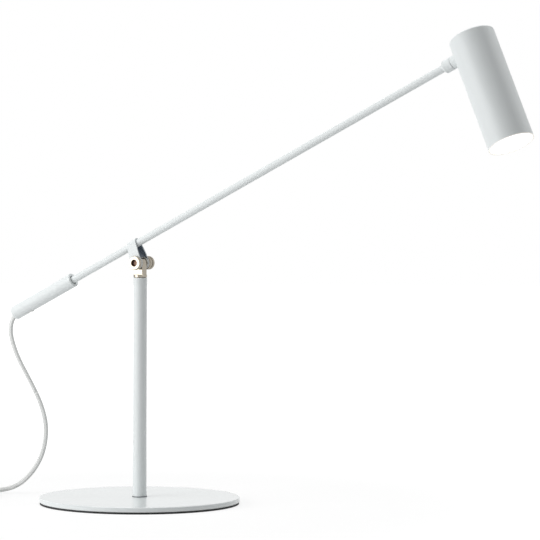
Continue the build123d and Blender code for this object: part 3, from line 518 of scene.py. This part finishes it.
def rocker_mesh(name):
    """The prism of the rocker's side view and that of its twelve-sided pin, as one mesh."""
    t = np.radians(np.arange(0, 360, 30))
    body, body_faces = prism(ROCKER_SIDE, ROCKER_HALF_W)
    pin, pin_faces = prism(PIN_R * np.stack([np.cos(t), np.sin(t)], -1), PIN_HALF_L, len(body))
    corners = np.concatenate([body, pin]) + np.array([SWITCH_AT, 0.0, PIN_UP])
    return solid_mesh(name, on_arm(*corners.T), body_faces + pin_faces)


rocker_key = put("rocker_key", rocker_mesh("rocker_key"))
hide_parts("switch_rocker")
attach(rocker_key, "rocker")
print("rocker stands", round(PROUD - SKIN - PIN_UP, 2), "mm from the arm's axis")

# %% [markdown]
# ### The collar round the rocker
# The switch's case ends at the skin of the measured weight. A rectangular collar carries its
# walls on to the new skin. It is a band of four rings, and the grid closes it both ways.

# %% Collar
COLLAR_OUT, COLLAR_IN = (4.3, 2.1), (3.8, 1.6)
COLLAR_FOOT, COLLAR_TOP = -7.15, -5.9


def collar_mesh(name):
    """Four rings joined to a closed band: outer foot, outer top, inner top and inner foot. Each
    is the corners of a square, times half the collar's length and half its width."""
    square = np.array([(-1, -1), (1, -1), (1, 1), (-1, 1)])
    order = ((COLLAR_OUT, COLLAR_FOOT), (COLLAR_OUT, COLLAR_TOP))
    order += ((COLLAR_IN, COLLAR_TOP), (COLLAR_IN, COLLAR_FOOT))
    rings = np.stack([np.insert(square * half, 2, up, axis=1) for half, up in order])
    s, y, z = np.moveaxis(rings, -1, 0)
    mesh = grid_mesh(name, on_arm(s + SWITCH_AT, y, z), closed_u=True, closed_v=True)
    mesh.polygons.foreach_set("use_smooth", np.zeros(len(mesh.polygons), bool))
    return mesh


switch_collar = put("switch_collar", collar_mesh("switch_collar"))
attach(switch_collar, "arm")
print("collar:", len(switch_collar.data.polygons), "faces")

# %% [markdown]
# ## Wiring shader nodes
# A material is a small graph: nodes with sockets, and links between them. A few helpers keep the
# graphs short to write. Where a value is a plain number it goes straight onto the socket.


# %% Helpers for shader nodes
def link(tree, source, target):
    """Joins two sockets, or sets a plain value where the source is one."""
    if isinstance(source, (int, float, tuple)):
        target.default_value = source
    else:
        tree.links.new(source, target)


def maths(tree, operation, *values):
    """The output of one Math node fed with sockets or numbers."""
    node = tree.nodes.new("ShaderNodeMath")
    node.operation = operation
    for socket, value in zip(node.inputs, values):
        link(tree, value, socket)
    return node.outputs[0]


def vectors(tree, operation, *values):
    """The same for vectors. Length and dot product give a number."""
    node = tree.nodes.new("ShaderNodeVectorMath")
    node.operation = operation
    for socket, value in zip(node.inputs, values):
        link(tree, value, socket)
    return node.outputs["Value" if operation in ("LENGTH", "DOT_PRODUCT") else "Vector"]


def ramp(tree, value, low, high, at_low=0.0, at_high=1.0, smooth=False):
    """A number that goes from at_low to at_high while the value goes from low to high, straight
    or with soft ends, and stays there outside the two."""
    node = tree.nodes.new("ShaderNodeMapRange")
    if smooth:
        node.interpolation_type = "SMOOTHSTEP"
    labels = ("Value", "From Min", "From Max", "To Min", "To Max")
    for label, number in zip(labels, (value, low, high, at_low, at_high)):
        link(tree, number, node.inputs[label])
    return node.outputs["Result"]


def noise(tree, vector, scale, detail=2.0):
    """The strength of a noise texture, 0 to 1."""
    node = tree.nodes.new("ShaderNodeTexNoise")
    link(tree, vector, node.inputs["Vector"])
    link(tree, scale, node.inputs["Scale"])
    node.inputs["Detail"].default_value = detail
    return node.outputs["Fac"]


def mixed(tree, share, first, second):
    """A colour between two others. Sockets 6 and 7 of a Mix node are its two colours."""
    node = tree.nodes.new("ShaderNodeMix")
    node.data_type = "RGBA"
    for number, value in ((0, share), (6, first), (7, second)):
        link(tree, value, node.inputs[number])
    return node.outputs[2]


def object_place(tree):
    """The point being shaded, in the object's own coordinates, in metres."""
    return tree.nodes.new("ShaderNodeTexCoord").outputs["Object"]

# %% [markdown]
# ## The white room
# The lamp is shot on white. The eye sees a plain white world, and so does every surface that
# mirrors or lets light through. The diffuse rays see a dim room instead, because white on white
# is only readable where something is left for the lamps to do. The Light Path node says which
# kind of ray asks.

# %% World
ROOM = 0.14
ROOM_TINT = (0.98, 1.0, 1.0, 1)
world = bpy.data.worlds.new("studio")
bpy.context.scene.world = world
world.use_nodes = True
sky = world.node_tree
ray = sky.nodes.new("ShaderNodeLightPath")
bounced = maths(sky, "MAXIMUM", ray.outputs["Is Glossy Ray"], ray.outputs["Is Transmission Ray"])
seen = maths(sky, "MAXIMUM", ray.outputs["Is Camera Ray"], bounced)
white = sky.nodes["Background"]
white.inputs["Color"].default_value = (1, 1, 1, 1)
white.inputs["Strength"].default_value = 1.0
dim = sky.nodes.new("ShaderNodeBackground")
dim.inputs["Color"].default_value = ROOM_TINT
dim.inputs["Strength"].default_value = ROOM
pick = sky.nodes.new("ShaderNodeMixShader")
link(sky, seen, pick.inputs[0])
link(sky, dim.outputs[0], pick.inputs[1])
link(sky, white.outputs[0], pick.inputs[2])
link(sky, pick.outputs[0], sky.nodes["World Output"].inputs["Surface"])
print("the diffuse rays see a room of strength", ROOM)

# %% [markdown]
# ## The table
# A sheet of pale paper as wide as a street would show its far edge as a grey line. Studios bend
# it up behind the object. Here it stays flat, and a share of plain glow is mixed into the paper
# for the eye and for mirrors only. The share grows with the distance from the lamp, so the soft
# shadow round the base is kept and the horizon is not. The glow lights nothing.

# %% Table top
TABLE_R = 9.0
TABLE_Z = -0.0002
SHADOW_R = (0.25, 0.9)
GLOW_SHARE = (0.55, 1.0)
GLOW = 1.25
FIBRE, PAPER_TONE = 0.02, 0.79


def disc_grid(radius, rings, sectors, height, innermost=0.0005):
    """Rings about the origin: the radius grows with the power 1.5 of the ring's number, so the
    rings are close where the lamp stands. The innermost is a millimetre wide."""
    r = innermost + radius * np.linspace(0, 1, rings) ** 1.5
    a = np.linspace(0, 2 * math.pi, sectors, endpoint=False)
    level = np.full((rings, sectors), height)
    return np.stack([r[:, None] * np.cos(a), r[:, None] * np.sin(a), level], -1)


def paper_material():
    """Matt paper with a fine fibre in its tone, mixed with glow. The share is the ramp over the
    distance from the lamp, times one for camera and glossy rays and nothing for the others."""
    material = bpy.data.materials.new("white_paper")
    material.use_nodes = True
    tree = material.node_tree
    paper = tree.nodes["Principled BSDF"]
    place = object_place(tree)
    tone = maths(tree, "MULTIPLY_ADD", noise(tree, place, 900.0), FIBRE, PAPER_TONE)
    link(tree, tone, paper.inputs["Base Color"])
    paper.inputs["Roughness"].default_value = 0.95
    paper.inputs["Specular IOR Level"].default_value = 0.1
    glow = tree.nodes.new("ShaderNodeEmission")
    glow.inputs["Color"].default_value = (1, 1, 1, 1)
    glow.inputs["Strength"].default_value = GLOW
    far = ramp(tree, vectors(tree, "LENGTH", place), *SHADOW_R, *GLOW_SHARE, smooth=True)
    ray = tree.nodes.new("ShaderNodeLightPath")
    shown = maths(tree, "MAXIMUM", ray.outputs["Is Camera Ray"], ray.outputs["Is Glossy Ray"])
    mix = tree.nodes.new("ShaderNodeMixShader")
    link(tree, maths(tree, "MULTIPLY", far, shown), mix.inputs[0])
    link(tree, paper.outputs[0], mix.inputs[1])
    link(tree, glow.outputs[0], mix.inputs[2])
    link(tree, mix.outputs[0], tree.nodes["Material Output"].inputs["Surface"])
    material.cycles.emission_sampling = "NONE"
    return material


sheet = disc_grid(TABLE_R, rings=12, sectors=96, height=TABLE_Z)
table = put("table", grid_mesh("table", sheet, closed_v=True))
table.data.materials.append(paper_material())
print("table:", len(table.data.polygons), "faces,", 2 * TABLE_R, "m across")

# %% [markdown]
# ## Three soft lights
# A big soft light stands on the left, a little in front. A weaker one on the right draws the
# pale line down the far edge of each tube, and a wide one above lights the table and the top of
# the base. Nothing bright stands behind the camera, so each tube has a darker band right of its
# middle. That band is what makes a white tube round. The places are given in the picture's own
# directions, because that is how a photographer would set them. Powers are in watts.


# %% Lights
def studio(right, away, up):
    """A place given by the picture: metres to its right, away from the camera, and up."""
    return LEVEL_RIGHT * right + LEVEL_AHEAD * away + Vector((0, 0, up))


LAMP_MIDDLE = studio(0.13, 0.0, 0.25)


def soft_light(name, place, size, power):
    """A white rectangular area light at a place that faces the middle of the lamp."""
    data = bpy.data.lights.new(name, "AREA")
    data.shape = "RECTANGLE"
    data.size, data.size_y = size
    data.energy = power
    lamp = bpy.data.objects.new(name, data)
    aim = (LAMP_MIDDLE - place).to_track_quat("-Z", "Y")
    lamp.matrix_world = Matrix.Translation(place) @ aim.to_matrix().to_4x4()
    bpy.context.scene.collection.objects.link(lamp)
    return lamp


lamps = [
    soft_light("softbox_left", studio(-1.80, -0.85, 0.55), (1.6, 1.6), 35),
    soft_light("softbox_right", studio(1.3, 0.0, 0.95), (0.8, 1.0), 4.0),
    soft_light("top", studio(0.0, 0.2, 2.2), (2.0, 1.4), 26),
]
print("lights:", {lamp.name: lamp.data.energy for lamp in lamps})

# %% [markdown]
# ## Skins as node groups
# White is never flat. Most of the lamp is powder coated steel, the pivot is turned and nickel
# plated, and the small parts are moulded. Each of these skins is built once as a node group
# with named sockets, so that a material only hands it a few values. A group gives back a colour,
# a roughness and a height. It reads Object coordinates in metres, and so the grain has the same
# size on a washer and on the base.

# %% Building a node group
FLOAT, COLOUR, VECTOR = "NodeSocketFloat", "NodeSocketColor", "NodeSocketVector"
SKIN_OUT = [("Colour", COLOUR), ("Roughness", FLOAT), ("Height", FLOAT)]


def new_group(name, inputs, outputs=SKIN_OUT):
    """A shader node group: inputs are (label, kind, default), outputs are (label, kind)."""
    tree = bpy.data.node_groups.new(name, "ShaderNodeTree")
    for label, kind, default in inputs:
        socket = tree.interface.new_socket(label, in_out="INPUT", socket_type=kind)
        socket.default_value = default
    for label, kind in outputs:
        tree.interface.new_socket(label, in_out="OUTPUT", socket_type=kind)
    return tree, tree.nodes.new("NodeGroupInput"), tree.nodes.new("NodeGroupOutput")


def tinted(tree, colour, factor):
    """A colour times a number."""
    node = tree.nodes.new("ShaderNodeVectorMath")
    node.operation = "SCALE"
    link(tree, colour, node.inputs[0])
    link(tree, factor, node.inputs["Scale"])
    return node.outputs["Vector"]


def about(tree, value, middle, swing, base):
    """The base plus the swing times how far the value is from its middle."""
    return maths(tree, "MULTIPLY_ADD", maths(tree, "SUBTRACT", value, middle), swing, base)


print("a skin gives back", [label for label, kind in SKIN_OUT])

# %% [markdown]
# ### Powder coat
# Powder is sprayed on dry and melted in an oven. It levels out less well than paint, and that
# leaves an orange peel of two to three millimetres under a much finer grain. The coat's
# thickness drifts over a few centimetres, and the tone drifts with it by a hair.

# %% Powder coat group
PEEL_SCALE, PEEL_SHARE = 330.0, 0.7
DRIFT_SCALE = 14.0


def powder_group():
    """Height: the grain plus a share of the orange peel. Colour: the given one times one plus
    the slow drift. Roughness: the given one, a little higher where the peel is high."""
    tree, given, out = new_group(
        "powder_skin",
        [
            ("Colour", COLOUR, (0.8, 0.8, 0.8, 1)),
            ("Roughness", FLOAT, 0.3),
            ("Grain", FLOAT, 1500.0),
            ("Drift", FLOAT, 0.02),
        ],
    )
    place = object_place(tree)
    grain = noise(tree, place, given.outputs["Grain"], 1.0)
    peel = noise(tree, place, PEEL_SCALE, 1.0)
    slow = noise(tree, place, DRIFT_SCALE)
    link(tree, maths(tree, "MULTIPLY_ADD", peel, PEEL_SHARE, grain), out.inputs["Height"])
    tone = about(tree, slow, 0.5, given.outputs["Drift"], 1.0)
    link(tree, tinted(tree, given.outputs["Colour"], tone), out.inputs["Colour"])
    link(tree, about(tree, peel, 0.5, 0.06, given.outputs["Roughness"]), out.inputs["Roughness"])
    return tree


POWDER = powder_group()
print("group:", POWDER.name)

# %% [markdown]
# ### Turned metal
# A lathe tool leaves hair lines that run round the part's own axis. A point's distance from the
# axis and its place along the axis are enough to say which line it is on, and as coordinates of
# a noise they make rings on a face and bands on a rim alike. Inside the radius called Well, which
# is the socket of a screw, the metal is painted dark and reddish: painted shade in the recess.

# %% Turned metal group
# Painted shade in a screw's socket: the share of red, green and blue that is taken away there.
WELL_SHADE_TAKES = (0.62, 0.74, 0.76)
WELL_ROUGHER = 0.25
STAIN_SCALE = 120.0


def turned_group():
    """Place along the axis: the offset from the centre, dotted with the axis. Radius: the length
    of what is left. Colour: the given one times the tone of lines and stain, painted darker and
    redder inside the well as painted shade. Roughness: the given one plus the stain, and rougher
    inside the well."""
    tree, given, out = new_group(
        "turned_skin",
        [
            ("Colour", COLOUR, (0.5, 0.5, 0.5, 1)),
            ("Roughness", FLOAT, 0.25),
            ("Centre", VECTOR, (0, 0, 0)),
            ("Axis", VECTOR, (0, 0, 1)),
            ("Lines", FLOAT, 9000.0),
            ("Well", FLOAT, 0.0),
        ],
    )
    place = object_place(tree)
    offset = vectors(tree, "SUBTRACT", place, given.outputs["Centre"])
    height = vectors(tree, "DOT_PRODUCT", offset, given.outputs["Axis"])
    on_axis = tinted(tree, given.outputs["Axis"], height)
    radius = vectors(tree, "LENGTH", vectors(tree, "SUBTRACT", offset, on_axis))
    ring = tree.nodes.new("ShaderNodeCombineXYZ")
    link(tree, radius, ring.inputs[0])
    link(tree, height, ring.inputs[1])
    lines = noise(tree, ring.outputs[0], given.outputs["Lines"])
    stain = noise(tree, place, STAIN_SCALE, 3.0)
    link(tree, lines, out.inputs["Height"])
    tone = maths(tree, "MULTIPLY_ADD", lines, 0.10, maths(tree, "MULTIPLY_ADD", stain, 0.16, 0.87))
    # Painted shade: within the socket's radius the colour is darkened and made reddish.
    inside = maths(tree, "LESS_THAN", radius, given.outputs["Well"])
    shade_taken = tinted(tree, WELL_SHADE_TAKES, inside)
    left = vectors(tree, "SUBTRACT", (1.0, 1.0, 1.0), shade_taken)
    metal = tinted(tree, given.outputs["Colour"], tone)
    link(tree, vectors(tree, "MULTIPLY", metal, left), out.inputs["Colour"])
    rough = about(tree, stain, 0.4, 0.12, given.outputs["Roughness"])
    rough = maths(tree, "MULTIPLY_ADD", inside, WELL_ROUGHER, rough)
    link(tree, rough, out.inputs["Roughness"])
    return tree


TURNED = turned_group()
print("group:", TURNED.name)

# %% [markdown]
# ### Mouldings
# The steel tool of a moulding is etched, and the part comes out with an even skin of shallow
# cells. Smooth Voronoi cells have that look: round bottoms and soft ridges.

# %% Moulded skin group
SHRINK_SCALE = 45.0


def moulded_group():
    """Height: the distance to the nearest cell's middle, with soft ridges. Colour and roughness:
    the given ones, with a slow drift of three percent either way."""
    tree, given, out = new_group(
        "moulded_skin",
        [
            ("Colour", COLOUR, (0.5, 0.5, 0.5, 1)),
            ("Roughness", FLOAT, 0.45),
            ("Cells", FLOAT, 2600.0),
        ],
    )
    place = object_place(tree)
    cells = tree.nodes.new("ShaderNodeTexVoronoi")
    cells.feature = "SMOOTH_F1"
    link(tree, place, cells.inputs["Vector"])
    link(tree, given.outputs["Cells"], cells.inputs["Scale"])
    slow = noise(tree, place, SHRINK_SCALE)
    link(tree, cells.outputs["Distance"], out.inputs["Height"])
    tone = maths(tree, "MULTIPLY_ADD", slow, 0.06, 0.97)
    link(tree, tinted(tree, given.outputs["Colour"], tone), out.inputs["Colour"])
    link(tree, about(tree, slow, 0.5, 0.10, given.outputs["Roughness"]), out.inputs["Roughness"])
    return tree


MOULDED = moulded_group()
print("group:", MOULDED.name)

# %% [markdown]
# ### The strap and its painted shade
# The saddle is one strip of steel, bent over the arm and coated white. Between the cheeks the
# inner faces are painted a dark blue-grey as painted shade, and the cut edges get a share of
# the same painted shade. Which side a point is on follows from its normal. On the inside of a
# cheek it points back at the middle of the lamp, against the point's own Y. On a cut edge it
# points neither way.

# %% Strap group with painted shade
# Painted shade: the dark blue-grey between the cheeks, and the limits of the outward normal below which it is
# painted.
GAP_SHADE_BLUE = (0.11, 0.14, 0.18, 1)
SHADED_BELOW, EDGE_SHADE_BELOW = -0.35, 0.25


def strap_group():
    """Outward: the normal's Y times the sign of the point's Y. Below one limit a face is inside
    the cheeks and gets the painted shade in full, and below the other a cut edge gets a share of
    it. That share mixes the coat's colour with the shade's, which a noise makes cloudy."""
    tree, given, out = new_group(
        "strap_skin_gap_shade",
        [("Coat", COLOUR, (0.8, 0.8, 0.8, 1)), ("Gap Shade", COLOUR, GAP_SHADE_BLUE), ("Edge Shade", FLOAT, 0.4)],
    )
    spot = tree.nodes.new("ShaderNodeTexCoord")
    place = spot.outputs["Object"]
    here = tree.nodes.new("ShaderNodeSeparateXYZ")
    link(tree, place, here.inputs[0])
    facing = tree.nodes.new("ShaderNodeSeparateXYZ")
    link(tree, spot.outputs["Normal"], facing.inputs[0])
    side = maths(tree, "SIGN", here.outputs["Y"])
    outward = maths(tree, "MULTIPLY", side, facing.outputs["Y"])
    # Painted shade: inner faces between the cheeks get the dark blue-grey in full, and cut edges a share of it.
    inside = maths(tree, "LESS_THAN", outward, SHADED_BELOW)
    edge_or_gap = maths(tree, "LESS_THAN", outward, EDGE_SHADE_BELOW)
    edge = maths(tree, "MULTIPLY", edge_or_gap, given.outputs["Edge Shade"])
    cloud = noise(tree, place, 260.0, 3.0)
    gap_shade = tinted(tree, given.outputs["Gap Shade"], maths(tree, "MULTIPLY_ADD", cloud, 0.8, 0.6))
    shade_share = maths(tree, "MAXIMUM", inside, edge)
    link(tree, mixed(tree, shade_share, given.outputs["Coat"], gap_shade), out.inputs["Colour"])
    link(tree, maths(tree, "MULTIPLY_ADD", cloud, 0.1, 0.36), out.inputs["Roughness"])
    link(tree, noise(tree, place, 1500.0, 1.0), out.inputs["Height"])
    return tree


STRAP = strap_group()
print("group:", STRAP.name)

# %% [markdown]
# ## From skin to material
# The group knows the pattern, and the material knows the physics: how metallic the surface is,
# how strong its mirror part is, and how deep the height runs. One function joins the two, so
# every finish below is a single short call.

# %% Dress a Principled shader in a skin
RELIEF = 0.00005


def dressed(name, group, values, metallic=0.0, bump=0.1, mirror=0.5):
    """A Principled material whose colour, roughness and normal come from a skin group. A height
    of one stands for the relief in metres, and bump is the share of it that is used."""
    material = bpy.data.materials.new(name)
    material.use_nodes = True
    tree = material.node_tree
    shader = tree.nodes["Principled BSDF"]
    skin = tree.nodes.new("ShaderNodeGroup")
    skin.node_tree = group
    for label, value in values.items():
        skin.inputs[label].default_value = value
    relief = tree.nodes.new("ShaderNodeBump")
    relief.inputs["Strength"].default_value = bump
    relief.inputs["Distance"].default_value = RELIEF
    link(tree, skin.outputs["Colour"], shader.inputs["Base Color"])
    link(tree, skin.outputs["Roughness"], shader.inputs["Roughness"])
    link(tree, skin.outputs["Height"], relief.inputs["Height"])
    link(tree, relief.outputs["Normal"], shader.inputs["Normal"])
    shader.inputs["Metallic"].default_value = metallic
    shader.inputs["Specular IOR Level"].default_value = mirror
    return material

# %% [markdown]
# ### White coats
# The tubes have a soft gloss. The base is sprayed lying down, the powder flows out better, and
# the plate shows the foot of the column as a blurred reflection. The white leans a little to
# green and blue.

# %% White coats
COOL_WHITE = (0.795, 0.828, 0.831, 1)
SOFT_COAT = {"Colour": COOL_WHITE, "Roughness": 0.42}
powder = dressed("powder_coat", POWDER, SOFT_COAT, bump=0.06, mirror=0.3)
flat_coat = {"Colour": COOL_WHITE, "Roughness": 0.16, "Grain": 900.0}
powder_plate = dressed("powder_coat_plate", POWDER, flat_coat, bump=0.03)
# The strap's material carries the painted shade between its cheeks.
strap = dressed("strap_coat_gap_shade", STRAP, {"Coat": COOL_WHITE}, bump=0.06, mirror=0.3)
print("white coats:", powder.name, powder_plate.name, strap.name)

# %% [markdown]
# ### Nickel
# The post, the screw and the nut are the jewel of the lamp: satin nickel, warmer than steel. A
# metal shows hardly any colour of its own but the one it mirrors, and in a white room that is
# white or the dark of the camera's side. The screw's head gets painted shade in its socket: a
# dark, reddish well.

# %% Nickel
NICKEL = {"Colour": (0.33, 0.30, 0.25, 1), "Roughness": 0.2}
ROUND_SCREW = {"Centre": PIVOT, "Axis": SCREW_LINE}
SOCKET_R = 0.0037
nickel_post = dressed("nickel_post", TURNED, NICKEL | {"Axis": POST_LINE}, metallic=1.0)
nickel_screw = dressed("nickel_screw", TURNED, NICKEL | ROUND_SCREW, metallic=1.0)
nickel_head = dressed(
    "nickel_screw_head_socket_shade", TURNED, NICKEL | ROUND_SCREW | {"Well": SOCKET_R}, metallic=1.0
)
print("nickel:", nickel_post.name, nickel_screw.name, nickel_head.name)

# %% [markdown]
# ### Zinc, aluminium and the plug's pins
# The hidden nuts and the clip are zinc plated, which is greyer and rougher than nickel. The heat
# sink is bare aluminium from the lathe. The pins are brass under a thin plating.

# %% Plain metals
ZINC = {"Colour": (0.5, 0.51, 0.52, 1), "Roughness": 0.35}
ROUND_ARM = {"Centre": ARM_POINT, "Axis": ARM_LINE}
TURNED_BAR = {"Colour": (0.66, 0.67, 0.68, 1), "Roughness": 0.35, "Lines": 5000.0}
zinc_up = dressed("zinc_upright", TURNED, ZINC | {"Axis": POST_LINE}, metallic=1.0)
zinc_arm = dressed("zinc_on_arm", TURNED, ZINC | ROUND_ARM, metallic=1.0)
bare_aluminium = dressed("turned_aluminium", TURNED, TURNED_BAR, metallic=1.0)
plating = {"Colour": (0.6, 0.59, 0.55, 1), "Roughness": 0.22}
pins = dressed("plated_pins", TURNED, plating, metallic=1.0)
print("plain metals:", zinc_up.name, zinc_arm.name, bare_aluminium.name, pins.name)

# %% [markdown]
# ### Foam, rubber and plastic
# The pad under the base is black foam with open cells, and the ring at the column's foot is grey
# rubber. The plug and the switch are white mouldings, the lead's sheath is softer and finer in
# grain, and the emitters under the disc are capped with yellow phosphor.

# %% Soft and moulded finishes
FOAM = {"Colour": (0.018, 0.018, 0.019, 1), "Roughness": 0.85, "Cells": 1500.0}
RUBBER = {"Colour": (0.10, 0.11, 0.12, 1), "Roughness": 0.7, "Cells": 1500.0}
SHEATH = {"Colour": (0.74, 0.75, 0.74, 1), "Roughness": 0.38, "Cells": 1800.0}
WHITE_PLASTIC = {"Colour": (0.78, 0.79, 0.78, 1), "Roughness": 0.42}
BLACK_PLASTIC = {"Colour": (0.02, 0.02, 0.021, 1), "Roughness": 0.4}
BEARING = {"Colour": (0.5, 0.5, 0.47, 1), "Roughness": 0.4}
PHOSPHOR = {"Colour": (0.85, 0.62, 0.12, 1), "Roughness": 0.5}
foam = dressed("black_foam", MOULDED, FOAM, bump=0.4)
grey_rubber = dressed("grey_rubber", MOULDED, RUBBER, bump=0.3)
sheath = dressed("lead_sheath", MOULDED, SHEATH, bump=0.08)
moulding = dressed("white_moulding", MOULDED, WHITE_PLASTIC, bump=0.15)
black_moulding = dressed("black_moulding", MOULDED, BLACK_PLASTIC, bump=0.15)
bearing = dressed("bearing_plastic", MOULDED, BEARING)
phosphor = dressed("phosphor", MOULDED, PHOSPHOR)
print("materials so far:", len(bpy.data.materials))

# %% [markdown]
# ## The lit disc
# The lamp is on. The opal disc scatters the light of nine small emitters so well that it looks
# the same all over, only a breath warmer at the rim. It is a surface that gives off light by
# itself, and the distance from the shade's axis is its only pattern. That distance is the length
# of the cross product of the offset with the axis.

# %% Opal disc
HEAD_REACH = 0.4436
HEAD_POINT = tuple(p + HEAD_REACH * d for p, d in zip(ARM_POINT, ARM_LINE))
HEAD_ROLL = math.radians(7.4)
HEAD_LINE = (
    -math.sin(ARM_TILT) * math.cos(HEAD_ROLL),
    math.sin(HEAD_ROLL),
    math.cos(ARM_TILT) * math.cos(HEAD_ROLL),
)
DISC_WARM_R = (0.0185, 0.0215)
DISC_MIDDLE, DISC_RIM = (1.0, 1.0, 1.0, 1), (0.68, 0.62, 0.54, 1)
DISC_GLOW = 1.6


def opal_material():
    """Plain white light, warmer between the two radii that end at the disc's rim."""
    material = bpy.data.materials.new("lit_opal")
    material.use_nodes = True
    tree = material.node_tree
    shader = tree.nodes["Principled BSDF"]
    place = object_place(tree)
    offset = vectors(tree, "SUBTRACT", place, HEAD_POINT)
    radius = vectors(tree, "LENGTH", vectors(tree, "CROSS_PRODUCT", offset, HEAD_LINE))
    glow = mixed(tree, ramp(tree, radius, *DISC_WARM_R), DISC_MIDDLE, DISC_RIM)
    link(tree, glow, shader.inputs["Emission Color"])
    shader.inputs["Emission Strength"].default_value = DISC_GLOW
    shader.inputs["Base Color"].default_value = (0.9, 0.9, 0.88, 1)
    frosting = maths(tree, "MULTIPLY_ADD", noise(tree, place, 600.0), 0.1, 0.35)
    link(tree, frosting, shader.inputs["Roughness"])
    return material


opal = opal_material()
print("shade's axis", tuple(round(c, 3) for c in HEAD_LINE))

# %% [markdown]
# ### Light on the rim
# A little of the disc's light spills over the lip of the shade and draws its mouth as a warm
# hair line. The powder coat of the shade gets a glow of its own for that. It starts one
# millimetre above the mouth's plane, and the height is measured along the shade's axis.

# %% Shade
SHADE_ABOVE, SHADE_L = 0.0149, 0.1183
MOUTH = SHADE_ABOVE - SHADE_L
BELOW_MOUTH = 0.0001
SPILL = 0.0010
SPILL_GLOW = 0.4
SPILL_TINT = (1.0, 0.86, 0.72, 1)


def shade_material():
    """The powder coat, with a glow that grows over the last millimetre down to the mouth."""
    material = dressed("powder_coat_shade", POWDER, SOFT_COAT, bump=0.06, mirror=0.3)
    tree = material.node_tree
    shader = tree.nodes["Principled BSDF"]
    offset = vectors(tree, "SUBTRACT", object_place(tree), HEAD_POINT)
    height = vectors(tree, "DOT_PRODUCT", offset, HEAD_LINE)
    spill = ramp(tree, height, MOUTH + SPILL, MOUTH - BELOW_MOUTH, 0.0, SPILL_GLOW)
    link(tree, spill, shader.inputs["Emission Strength"])
    shader.inputs["Emission Color"].default_value = SPILL_TINT
    return material


powder_shade = shade_material()
print("mouth's plane", round(MOUTH, 4), "m along the axis")

# %% [markdown]
# ## Every solid gets its finish
# Each solid carries the name of a material slot, which says what it is made of. A table goes
# from slots to finishes. A few solids need one of their own, because their axis or their coat
# differs from that of the others in the slot.

# %% Finish every solid
FINISH = {
    "white_coat": powder,
    "white_coat_aluminium": powder,
    "nickel": nickel_screw,
    "zinc_steel": zinc_arm,
    "black_foam": foam,
    "bearing_plastic": bearing,
    "white_moulding": moulding,
    "opal": opal,
    "emitters": phosphor,
    "bare_aluminium": bare_aluminium,
    "black_moulding": black_moulding,
    "lead_sheath": sheath,
    "plated_brass": pins,
}
OWN_FINISH = {
    "base_plate": powder_plate,
    "column_ring": grey_rubber,
    "arm_saddle": strap,
    "shade": powder_shade,
    "pivot_post": nickel_post,
    "pivot_screw": nickel_head,
    "base_screw": zinc_up,
    "post_clip": zinc_up,
    "column_foot_plug": zinc_up,
}
slots = {part["node"]: part["material_slot"] for part in frame["record"]["subparts"]}
for name, node in NODES.items():
    node.data.materials.clear()
    node.data.materials.append(OWN_FINISH.get(name, FINISH[slots[name]]))
new_pieces = {
    lead_upper: sheath,
    lead_lower: sheath,
    weight_rod: powder,
    rocker_key: moulding,
    switch_collar: moulding,
}
for piece, finish in new_pieces.items():
    piece.data.materials.append(finish)
print("finished", len(NODES), "solids with", len(bpy.data.materials), "materials")
